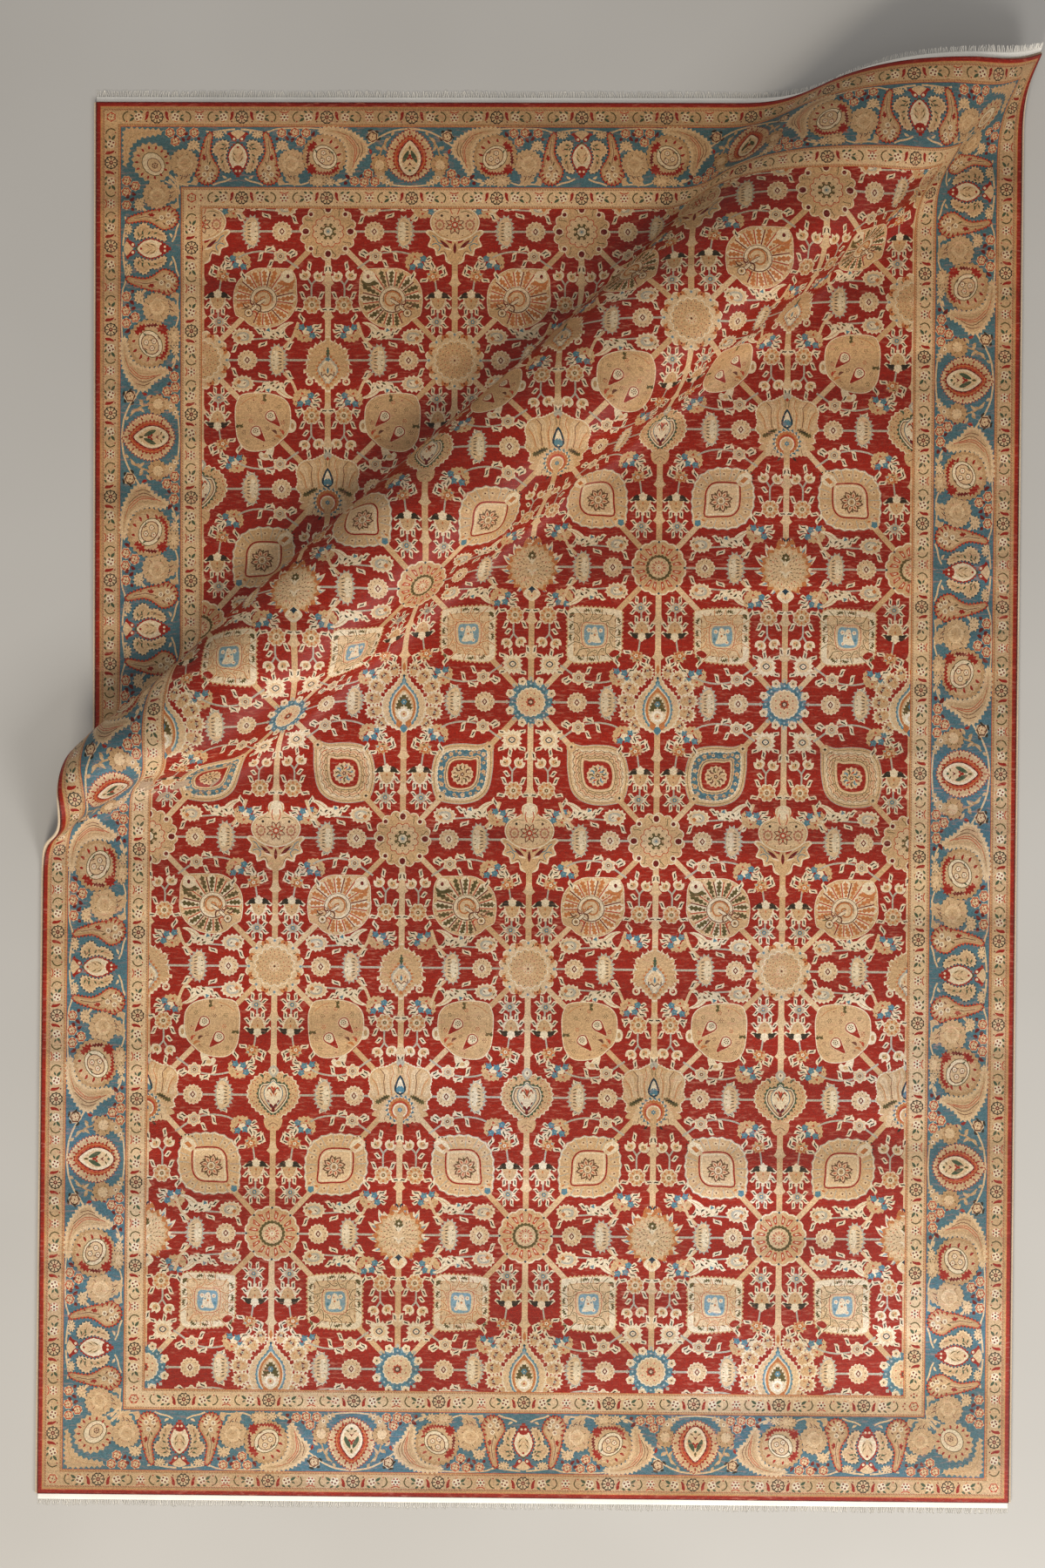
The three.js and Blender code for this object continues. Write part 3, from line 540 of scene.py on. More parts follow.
# Medallions between the columns, drawn for a stem from the lower left
def fan_medallion(green):
    body = curve(48, 55, 2, 56, -21, 54, -44, 40, -58, 22, -63, -1, -62, -23, -58, -40, -44, -46,
                 -32, -58, -15, -65, 5, -65, 25, -61, 45, -49, 59, -32, 66, -12, 65, 11, 64, 34, 58, 48)
    m = [(grown(body, 1.5), "cream"), (body, "beige")]
    hub = -2 - 8j
    way = np.angle(body - hub)
    order = np.argsort(way)
    for k in range(15):
        lo, hi = np.radians(-112 + k * 21.1 + np.array([0.0, 19.0]))
        mid = lo * 0.45 + hi * 0.55
        far = np.interp([lo, mid, hi], way[order], np.abs(body - hub)[order], period=2 * np.pi)
        m += [(hub + smooth(np.array([27 * np.exp(1j * lo), far[0] * 0.86 * np.exp(1j * lo),
                                      far[1] * np.exp(1j * mid), far[2] * 0.86 * np.exp(1j * hi),
                                      27 * np.exp(1j * hi)]), 2), "cream" if k % 2 else "sand")]
        reach = far[1] - 27
        blob = np.array([27 - 2j, 27 + reach * 0.4 - 5j, 27 + reach * 0.8 - 4j, 27 + reach * 0.95 + 3j,
                         27 + reach * 0.6 + 4j, 27 + reach * 0.3 + 2j])
        m += [(hub + toothed(smooth(blob, 2), 9, 3.6) * np.exp(1j * mid), green),
              (hub + stroke(np.array([28, far[0] * 0.9]) * np.exp(1j * (lo - 0.02)), 2.4, 1),
               "rust" if k % 3 else "deep")]
        if k % 2 == 0:
            m += [(hub + leaf(32 + 6j, 27 + reach * 0.7 + 7j, 3.0, 0.1, 2) * np.exp(1j * mid),
                   "orange" if green != "orange" else "olive")]
    m += [(oval(hub, 28, 27, 20), "brown"), (oval(hub + 0.6j, 26.4, 25.4, 20), "cream"),
          (scallop(hub, 22, 14, 0.08, 2), "sand")]
    # The hub's swirl, its bird-like blob and the flower on the stem
    m += [(stroke(hub + at(-13, -9, -17, 4, -8, 16, 7, 16, 15, 5, 12, -8, 2, -12, -7, -5, -5, 4, 3, 6),
                  3.4, 2), "orange"), (stroke(hub + at(-10, -14, -20, -2, -14, 14, 2, 20, 17, 11, 18, -4),
            1.6, 2), "brown"), dot("cream", hub, 3.4, 6)]
    m += [(curve(34, 32, 34, 46, 46, 53, 58, 46, 60, 34, 52, 27, 42, 28), "cream"),
          (oval(48 + 40j, 3.6, 4.6, 7), "deep"),
          (curve(32, 24, 44, 20, 58, 22, 62, 34, 52, 27, 42, 28, 36, 32), green),
          dot("sand", 29 + 19j, 5, 7), dot("deep", 29 + 19j, 1.6)]
    m += [(stroke(at(2, -8, -14, -18, -30, -34), 6, 2), "cream"),
          (stroke(at(0, -12, -14, -22, -28, -36), 1.4, 2), "brown"),
          (stroke(at(2, -4, -12, -12, -30, -28), 1.4, 2), "brown")]
    for a, b, tone in ((-18 - 16j, -8 - 34j, "brown"), (-20 - 18j, -30 - 8j, "deep"),
                       (-24 - 30j, -18 - 46j, "rust"), (-30 - 22j, -46 - 16j, "brown"),
                       (-12 - 12j, -20 + 2j, "orange")):
        m += [(leaf(a, b, 8, 0.15, 3), tone),
              (leaf(a + (b - a) * 0.2, b - (b - a) * 0.2, 4, 0.15, 2), "sand")]
    return m + [(scallop(-33 - 35j, 9.5, 8, 0.12, 2), "brown"), dot("cream", -33 - 35j, 7.4, 9),
                dot("tan", -33 - 35j, 4.4, 8), dot("dark", -33 - 35j, 2, 5)]


def boteh_medallion():
    body = curve(44, 61, 1, 64, -33, 56, -49, 41, -53, 21, -52, -2, -46, -20, -33, -33, -22, -43, -8, -50,
                 18, -54, 38, -50, 52, -33, 57, -10, 59, 27, 55, 47, steps=3)
    m = [(curve(-48, 2, -56, 11, -64, 6, -66, -4, -62, -14, -52, -17, -44, -12), "cream"),
         (oval(-58 - 3j, 3.6, 6.5, 8), "tan")]
    m += [(curve(-20, -42, -18, -62, -9, -73, 6, -72, 12, -62, 6, -56, 0, -60, -6, -52), "cream"),
          (oval(-4 - 65j, 6.5, 4, 8), "beige")]
    m += [(grown(body, 2), "cream"), (body, "beige"), (grown(body, -5), "tan"),
          (grown(body, -6.2), "beige")]
    # Two drops with a flower in each
    for x, y in ((16.5, -15), (-14, 16.5)):
        drop = curve(-28, 2, -16, -4.5, -6, -9.5, 4, -11.6, 10.5, -7, 12.4, 0, 10.5, 7,
                     4, 11.6, -6, 9.5, -16, 6.5)
        one = [(grown(drop, 1.6), "sand"), (drop, "red"),
               (curve(-9, -3, -5, -7, 4, -9.5, 9, -5.5, 10.5, 0, 9, 5.5, 4, 9.5, -5, 7, -9, 4), "cream")]
        one += placed(around([dot("olive", 4.4, 1.5, 5)], 7), 2.5) + [dot("brown", 2.5, 1.6, 5)]
        m += placed(one, complex(x, y), np.radians(52))
    for x, y, c in ((8, 30, "brown"), (-30, 36, "olive"), (31, 31, "olive"), (28, 8, "rust"),
                    (-7, -8, "brown"), (35, -36, "olive"), (44, 18, "tan"), (-20, 48, "tan"),
                    (-38, 4, "rust"), (4, 46, "rust"), (42, -16, "brown")):
        m += placed(around([dot(c, 3.4, 1.2)], 6), complex(x, y)) + [dot(c, complex(x, y), 1.1)]
    for x, y, a in ((0, 55, 0), (51, -3, np.pi / 2)):
        m += placed([(toothed(at(-5, -7, 5, -7, 1.5, 0, 5, 7, -5, 7, -1.5, 0), 7, 2), "olive")],
                    complex(x, y), a)
    m += [(leaf(a, b, 6, 0.2, 3), c) for a, b,
          c in ((-36 - 30j, -20 - 24j, "orange"), (-30 - 34j, -14 - 36j, "tan"),
                (-40 - 22j, -30 - 10j, "rust"), (-26 - 20j, -14 - 12j, "brown"))]
    m += [(stroke(at(-46, 26, -42, 0, -34, -14), 1.1, 2), "tan"),
          (stroke(at(-24, -26, -4, -34, 16, -40), 1.1, 2), "tan"),
          (stroke(at(16, 58, 34, 52, 48, 40), 1.1, 2), "orange")]
    return m + [dot("deep", complex(x, y), 1.6) for x, y in ((-40, 8), (2, -44), (-22, -30), (22, 50))]


def ogee_red_medallion():
    body = curve(-58, -54, -65, -20, -63, 20, -47, 49, -16, 64, 20, 64, 50, 58, 64, 24, 64, -16, 50, -47,
                 18, -62, -20, -62, steps=4)
    m = [(toothed(body, 22, 3), "grey"), (toothed(grown(body, -1.6), 22, 3), "cream"),
         (toothed(grown(body, -4), 22, 2), "beige")]
    p = body * 0.97
    inner = body * 0.6
    for i in range(18):
        k = int((i + 0.5) * len(p) / 18)
        m += [(stroke(np.array([inner[k], p[k]]), 1.7, 1), "grey")]
        k = int((i + 1.0) * len(p) / 18) % len(p)
        m += [(oval(body[k] * 0.78, 6, 5, 7), "sand"), (oval(body[k] * 0.79, 2.0, 1.8, 5), "brown")]
    ogee = curve(-38, -37, -38, -10, -36, 16, -24, 32, -4, 36, 30, 34, 36, 28, 37, 0, 33, -22,
                 18, -36, -10, -38, steps=3)
    m += [(grown(ogee, 4), "beige"), (ogee, "red"), (grown(ogee, -3.4), "sand"),
          (grown(ogee, -6), "cream"), (grown(ogee, -8), "sand")]
    hub = -4 - 4j
    petal = [(leaf(4, 25, 12, 0.06, 3), "brown"), (leaf(5, 21, 8.6, 0.06, 3), "sand"),
             (leaf(9, 18, 3, 0.1, 2), "rust")]
    m += placed(around([(leaf(10, 23, 5, 0.2, 2), "olive")], 8, 0.59) + around(petal, 8, 0.2), hub)
    m += [(scallop(hub, 10, 6, 0.16, 3), "brown"), dot("cream", hub, 8.2, 9),
          (smooth(hub + at(-5, -2, 0, -6, 5, -2, 2, 5, -3, 4), 2), "tan"), dot("brown", hub, 1.8, 5)]
    m += [(toothed(oval(-50 - 50j, 12, n=10), 9, 2.5), "sand"),
          (at(-57, -45, -46, -44, -45, -54, -52, -58, -58, -54), "sea"),
          (leaf(-44 - 42j, -36 - 46j, 5, 0, 2), "orange"),
          (leaf(-58 - 40j, -50 - 36j, 4, 0, 2), "orange")]
    m += [(at(26, 36, 34, 50, 50, 56, 60, 48, 54, 32, 38, 24), "cream"),
          (at(34, 36, 44, 46, 52, 42, 42, 32), "orange"), (at(28, 28, 40, 28, 34, 40), "sand")]
    return m + [dot("dark", complex(x, y), 1.8, 5) for x,
                y in ((36, 56), (43, 59), (50, 59), (57, 56), (61, 50), (62, 43), (60, 36))]


def ruffled_medallion(edge, curl):
    body = curve(-54, -54, -57, 0, -54, 54, 0, 58, 50, 54, 58, 46, 57, 0, 52, -46, 0, -58, steps=4)
    m = [(toothed(body, 48, 4), "beige"), (grown(body, -2.6), "cream"), (grown(body, -15), "beige"),
         (grown(body, -17), "sand")]
    for i in range(14):
        a = 2 * np.pi * (i + 0.3) / 14
        r = 53 / max(abs(np.cos(a)), abs(np.sin(a))) ** 0.75
        w = np.exp(1j * a)
        if i % 3 != 2:
            m += [(toothed(curve(r - 7, -7, r - 2, -8, r + 1, -1, r - 2, 6, r - 6, 6,
                                 r - 4, 0), 8, 3.4) * w, edge)]
        m += [(stroke(at(r - 1, -11, 42, -11, 35, -4, 31, 3, 33, 8, 37, 7, 36, 3), 1.5, 1) * w, curl),
              (leaf(36 - 4j, 44 + 6j, 2.2, 0.2, 2) * w, "tan")]
        m += [(leaf((r - 14) + 12j, (r - 2) + 14j, 2.4, 0.1, 2) * w, "tan"),
              (leaf((r - 12) - 2j, (r - 6) + 6j, 2.0, 0.1, 2) * w, "brown")]
    square = curve(-28, -24, -30, 26, 0, 28, 26, 26, 30, 0, 24, -24, 0, -30, steps=3) * 0.84
    m += [(grown(square, 1.2), "rust"), (square, "sand"),
          (curve(-20, -16, -20, 18, 0, 20, 18, 18, 20, -2, 16, -18, 0, -22, steps=3), "blue")]
    m += [(curve(-4, 15, 4, 15, 8, -4, 13, -16, -8, -14, -11, -2), "cream"),
          (scallop(-12 + 10j, 5.4, 5, 0.2, 2), "cream"), (scallop(12 + 9j, 5, 5, 0.2, 2), "cream"),
          (scallop(-11 - 13j, 4.4, 5, 0.2, 2), "cream"), dot("sea", 14 - 6j, 3.4, 6),
          dot("sea", -6 + 3j, 2, 5), dot("orange", 0, 2.4, 6)]
    m += [dot("rust", complex(x, y), 1.5) for x, y in ((-12, 10), (12, 9), (-11, -13), (2, 8))]
    return m + [(curve(34, -34, 42, -30, 52, -34, 46, -42, 36, -46, 30, -40), "red"),
                (curve(-52, 34, -46, 38, -42, 44, -47, 46, -53, 42), edge)]


def ogee_medallion(band):
    body = curve(-60, -58, -70, -30, -71, 0, -62, 34, -42, 50, -8, 54, 24, 52, 50, 56, 53, 26, 52, 0,
                 45, -36, 28, -57, 0, -67, -32, -67, steps=4)
    hub = -9 - 8j

    def shrunk(share):
        return (body - hub) * share + hub

    m = [(grown(body, 1.6), "grey"), (body, "beige"), (shrunk(0.94), "olive"), (shrunk(0.925), "sand"),
         (toothed(shrunk(0.85), 34, 1.6), "cream")]
    if band == "teal":
        m += [(toothed(shrunk(0.81), 40, 2), "teal")]
        for k in range(17):
            spot = shrunk(0.71)[int(k * len(body) / 17) % len(body)]
            m += [(scallop(spot, 5.6 if k % 2 else 4.2, 5, 0.3, 2, k), "beige" if k % 3 else "sand"),
                  (oval(spot, 1.4, n=4), "rust" if k % 2 else "brown")]
            spot = shrunk(0.77 if k % 2 else 0.65)[int((k + 0.5) * len(body) / 17) % len(body)]
            m += [(scallop(spot, 3.4, 4, 0.3, 2, k), "tan" if k % 2 else "sea")]
        m += [(toothed(shrunk(0.61), 26, 2), "beige"), (shrunk(0.56), "ink"), (shrunk(0.54), "sand")]
    else:
        for share, tone in ((0.82, "brown"), (0.74, "rust"), (0.66, "brown")):
            m += [(toothed(shrunk(share), 22, 3), tone),
                  (toothed(shrunk(share - 0.018), 22, 3), "sand" if share > 0.7 else "beige")]
            m += [dot("olive", p, 1.5) for p in shrunk(share - 0.05)[::3]]
        m += [(shrunk(0.58), "olive"), (shrunk(0.56), "sand")]
    m += [(shrunk(0.49), "tan"), (shrunk(0.475), "red")]
    m += [(toothed(oval(hub, 22.5, 22, 16), 14, 3), "sand")]
    for k in range(11):
        w = np.exp(1j * (0.3 + 2 * np.pi * k / 11))
        tone = ("brown", "tan", "olive")[k % 3] if band == "teal" else ("sea", "olive", "rust")[k % 3]
        m += [(leaf(7 * w + hub, (19 + 4j) * w + hub, 6, 0.25, 2), tone),
              (leaf(10 * w + hub, (17 + 3j) * w + hub, 2.8, 0.25, 2), "sand"),
              (leaf((12 - 4j) * w + hub, (20 - 2j) * w + hub, 2.4, 0, 2),
               "blue" if band != "teal" and k % 2 else "brown")]
    m += [(scallop(hub, 8, 6, 0.15, 2), "beige"), (spiky(hub, 5.4, 5, 0.4), "brown"),
          dot("cream", hub, 1.6, 5)]
    for x in (-54 - 54j, 46 + 50j):
        m += [(scallop(x, 11, 8, 0.12, 2), "beige"), (scallop(x, 7, 6, 0.15, 2), "sand"),
              (spiky(x, 3.6, 4, 0.4), "dark")]
    return m


# The field
STEM_ORDER = ("red", "jag", "fan", "flame", "blue", "cart", "orn", "chev", "ring", "pear")
MEDALLION_ROWS = ("fan", "boteh", "ogee_red", "ruffled", "ogee", "fan", "boteh", "ogee_red", "ruffled")
# The rosettes with side links, and whether stars grow above and below them
STARRY = {"red": (True, False), "orn": (True, True), "fan": (False, False), "ring": (True, True),
          "blue": (False, False)}
# Where the blossoms sit above and below the others
HOOKS = {"jag": (47 + 60j, 50 + 82j), "flame": (60 + 76j, 64 + 68j), "cart": (64 + 50j, 80 + 65j),
         "chev": (72 + 56j, 66 + 66j), "pear": (78 + 57j, 70 + 70j)}
STEM_HALF, LINK_HALF, ROW_PITCH = 6, 2.2, 268


def kind(column, row):
    return STEM_ORDER[(row + (0 if column % 2 else 5)) % 10]


def crossings():
    return [(i, j, complex(u, v)) for i, u in enumerate(COLUMNS) for j, v in enumerate(ROWS)]


def bar(low, high):
    return at(low.real, low.imag, high.real, low.imag, high.real, high.imag, low.real, high.imag)


def lattice():
    # Stems with their knots, links across them, and branches to the medallions
    knot = at(-6, -12, -13, -6, -8, 0, -5, 13, 5, 13, 8, 0, 13, -6, 6, -12)
    m = []
    for i, u in enumerate(COLUMNS):
        for j, (top, low) in enumerate(zip(ROWS, ROWS[1:])):
            stem = bar(complex(u - STEM_HALF, low), complex(u + STEM_HALF, top))
            m.append((stem, "sand" if (i + j) % 2 else "beige"))
            m += [(knot + complex(u, low + (top - low) * share), "sand") for share in (0.36, 0.62)]
    m += [(bar(complex(200, v - LINK_HALF), complex(1800, v + LINK_HALF)), "grey") for v in ROWS]
    for i, j, start in crossings():
        for side, down in ((-1, -1), (-1, 1), (1, -1), (1, 1)) if kind(i, j) in STARRY else ():
            if 0 <= i + side < len(COLUMNS) and 0 <= j - down < len(ROWS):
                end = (start + complex(COLUMNS[i + side], ROWS[j - down])) / 2
                way = (end - start) / abs(end - start)
                branch = stroke(np.array([start + 40 * way, end - 50 * way]), 11, 1)
                m.append((branch, "sand" if side > 0 else "beige"))
    return m


def medallion(name, leans_left, odd_column, low_row):
    if name == "fan":
        return fan_medallion("orange" if leans_left else "olive")
    if name == "ogee":
        return ogee_medallion("sand" if odd_column else "teal")
    if name == "ruffled":
        edge = "orange" if odd_column and leans_left == low_row else "olive"
        return ruffled_medallion(edge, "olive" if odd_column else "orange")
    return boteh_medallion() if name == "boteh" else ogee_red_medallion()


def medallions():
    m = []
    for j, name in enumerate(MEDALLION_ROWS):
        for i in range(len(COLUMNS) - 1):
            leans_left = kind(i, j + 1) in STARRY
            where = complex((COLUMNS[i] + COLUMNS[i + 1]) / 2, (ROWS[j] + ROWS[j + 1]) / 2)
            m += placed(medallion(name, leans_left, i % 2 == 1, j > 5), where, flip=not leans_left)
    return m


def beside(name, upper, gap, small):
    # What grows beside the stem and the link in the upper right quarter of a rosette
    turn = 0 if upper else 1
    if name in HOOKS:
        return placed(small["trefoil"], HOOKS[name][turn])
    if STARRY[name][turn]:
        m = [(stroke(at(36, 72, 35, 122 * gap, 42, 176 * gap), 3.4, 2), "grey")]
        m += placed(small["star"], complex(37, 80 * gap)) + placed(small["cone"], complex(34, 123 * gap))
        m += placed(small["marigold"], complex(44, 176 * gap))
        m += sprigs(20, 196 * gap, 22, 174 * gap, 0.2)
        m += [(stroke(at(92, 42, 122, 44, 150, 46), 3.4, 2), "grey")]
        m += [(stroke(at(170, 26, 188, 46, 200, 78), 6, 3), "sand")]
        m += placed(small["heart"], 85 + 48j) + placed(small["leafy"], 149 + 53j)
        return m + sprigs(61, 16, 77, 33, -0.2, 118, 25, 136, 40, 0.2, 172, 22, 192, 38, -0.2,
                          108, 66, 128, 56, 0.2)
    if name == "blue":
        m = placed(small["oak"], 38 + 78j) + placed(small["buds"], complex(36, 132 * gap))
        m += placed(small["lobed"], complex(34, 172 * gap))
    else:
        m = placed(small["buds"], complex(33, 108 * gap)) + placed(small["lobed"], complex(33, 153 * gap))
    m += [(stroke(at(60, 76, 72, 68, 90, 55), 4, 1), "grey")]
    m += [(stroke(at(112, 44, 140, 41, 168, 46, 184, 54), 3.6, 2), "grey")]
    m += placed(small["fivefold"], 98 + 51j)
    return m + sprigs(64, 40, 78, 56, 0.2, 112, 28, 130, 44, 0.2, 132, 42, 146, 62, -0.2,
                      150, 22, 166, 38, 0.2)


def growth():
    small = {f.__name__: f() for f in (ringlet, carnation, trefoil, star, cone, marigold, lobed, buds,
                                       oak, heart, leafy, fivefold)}
    m = []
    for i, j, spot in crossings():
        name = kind(i, j)
        for up in (1, -1):
            beyond = j - up
            gap = abs(ROWS[beyond] - ROWS[j]) / ROW_PITCH if 0 <= beyond < len(ROWS) else 1.0
            quarter = beside(name, up > 0, gap, small)
            if up < 0:
                quarter = [(np.conj(p), c) for p, c in quarter]
            m += placed(quarter, spot) + placed(quarter, spot, flip=True)
        for side in (1, -1) if name in STARRY else ():
            m += placed(small["ringlet"], spot + 95 * side)
            m += placed(small["carnation"], spot + 156 * side, flip=side > 0)
    return m


def field():
    makers = (red_dot_rosette, jagged_palmette, fan_palmette, flame_palmette, blue_rosette,
              cartouche_palmette, ornament_rosette, chevron_palmette, ring_rosette, pear_palmette)
    figures = {name: maker() for name, maker in zip(STEM_ORDER, makers)}
    m = lattice() + medallions() + growth()
    for i, j, spot in crossings():
        m += placed(figures[kind(i, j)], spot)
    return m


# The borders, drawn along a strip: x along it, y towards the middle
STRIP_SPAN = 354.0


def rose(radius, inner):
    radius = radius * 1.12
    m = [(scallop(0, radius, 7, 0.18, 2), "sand"),
         (scallop(0, radius * 0.86, 6, 0.16, 2), "rust" if inner == "rose" else "brown"),
         (scallop(0, radius * 0.66, 5, 0.2, 2), "sand")]
    return m + around([dot("brown", radius * 0.42, 1.7, 3)], 4, 0.3) + [dot("deep", 0, 1.9)]


def guard_unit():
    m = [(spiky(0, 14.4, 10, 0.12), "dark"), dot("sand", 0, 11.2, 12)]
    m += around([(at(3, 0, 10.5, -1.7, 10.5, 1.7), "dark")], 8)
    m += [dot("deep", 0, 4.4, 7), dot("sand", 0, 1.8)]
    side = [(curve(17, -12, 23, -9, 23, -2, 25, 7, 20, 4, 17, -3), "red"), dot("deep", 21 + 9j, 1.8, 5),
            dot("cream", 38, 9.2, 8)]
    side += [dot("deep", complex(x, y), 2.3, 5) for x,
             y in ((33.5, 1.5), (37, -4.5), (43, -2), (41, 4.5))]
    side += [(leaf(34 + 6j, 43 + 9j, 2.6, 0.2, 2), "orange"), (leaf(46 + 1j, 57 + 9j, 6, 0, 3), "green"),
             (leaf(48 - 1j, 56 - 5j, 4, 0, 2), "green")]
    side += [(leaf(28 - 8j, 36 - 13j, 4.5, 0, 2), "green"), (leaf(40 - 9j, 48 - 13j, 4.5, 0, 2), "green")]
    side += [(stroke(at(66, 9, 70, 0, 66, -8, 59, -11), 2.6, 2), "olive"), dot("red", 62 + 9j, 1.7, 5)]
    medium = [(scallop(0, 9.5, 8, 0.12, 2), "cream")] + around([dot("red", 6.6, 2.3)],
            6) + [dot("dark", 0, 2.4, 5)]
    medium += [(stroke(at(-9, -12, 0, -8.5, 9, -12), 2.2, 2), "rust")]
    return m + twins(side) + placed(medium, 87.5)


def almond():
    side = grown(curve(17, 30, 29, 28, 40, 12, 38, 0, 51, -11, 47, -22, 36, -32, 20, -30,
                       24, -14, 27, 4, 21, 18), 2.4)
    wing = [(grown(side, 1.4), "ink"), (toothed(side, 24, 3.6), "sand"), (grown(side, -4), "flax")]
    wing += [(stroke(at(22, -26, 31, -18, 40, -14), 1.3, 1), "brown")]
    wing += [(stroke(at(28, 24, 31, 12, 36, 2), 1.3, 1), "brown")]
    wing += [(stroke(at(27, 20, 34, 8, 33, -4), 1.4, 1), "tan")]
    for a, b in ((28 - 6j, 36 - 1j), (27 - 16j, 38 - 18j), (25 - 24j, 35 - 27j), (30 + 6j, 34 + 14j),
                 (22 - 20j, 27 - 14j)):
        wing.append((leaf(a, b, 3.6, 0, 2), "green"))
    m = twins(wing)
    body = smooth(even(0, 43, 8, 33, 16, 20, 22, 2, 18, -15, 8, -27, 0, -31), 2)
    m += [(toothed(body, 26, 3.4), "red"), (grown(body, -3.4), "cream")]
    m += [(curve(-12, 24, 0, 39, 12, 24, 0, 17), "red")]
    m += twins([dot("cream", complex(x, y), 2.6, 6) for x, y in ((4, 29), (10, 20), (15, 10), (17, 0))])
    m += [(smooth(even(0, 15, 10, 6, 13, -6, 7, -18, 0, -23), 2), "sand")]
    m += twins([(leaf(2 + 10j, 9 - 4j, 2.2, 0.2, 2), "olive"),
                (leaf(3 - 2j, 9 - 12j, 2.2, 0.2, 2), "olive"), (leaf(0 + 4j, 4 - 8j, 2, 0.2, 2), "tan")])
    m += [dot("red", -20j, 2.6, 6), (at(-7, -25, 0, -33, 7, -25, 0, -28), "green")]
    m += twins([(curve(4, -32, 12, -34, 17, -44, 23, -47, 14, -52, 8, -44, 3, -42), "red"),
                dot("cream", 8 - 37j, 3, 6)])
    return m + [(curve(-15, -50, -6, -42, 0, -36, 6, -42, 15, -50, 0, -56), "sand")]


def sunflower():
    outer = smooth(even(0, 49, 20, 42, 38, 27, 47, 4, 42, -20, 28, -40, 14, -50, 0, -57), 2)
    m = [(toothed(outer * 1.05, 44, 4), "red"), (toothed(outer * 1.01, 44, 4), "sand"),
         (toothed(outer * 0.93, 40, 3), "flax")]
    ring = smooth(even(0, 41, 20, 34, 34, 12, 32, -14, 18, -34, 0, -46), 2)
    m += [(toothed(ring, 30, 4.4), "red"), (grown(ring, -3), "orange"),
          (toothed(grown(ring, -5), 26, 2), "rust")]
    m += [(leaf(0.8 * outer[k], 0.98 * outer[k], 3.4, 0, 2), "red") for k in range(0, len(outer), 2)]
    body = smooth(even(0, 40, 14, 33, 24, 14, 24, -6, 14, -24, 0, -37), 2)
    m += [(toothed(body, 20, 2.6), "deep"), (grown(body, -2.4), "cream"),
          (toothed(body * 0.72, 18, 2), "sand")]
    m += twins([(curve(2, -14, 8, -10, 15, 2, 14, 12, 8, 6, 3, -2), "green"),
                (leaf(4 + 20j, 12 + 24j, 3, 0, 2), "olive")])
    return m + [(toothed(at(-7, 6, 0, -8, 7, 6, 0, 2), 6, 2), "red"),
                (at(-5, 18, 0, 10, 5, 18, 0, 15), "deep"), dot("green", 27j, 3, 6),
                (leaf(-24j, -14j, 5, 0, 3), "olive"), dot("cream", -12j, 1.8, 5)]


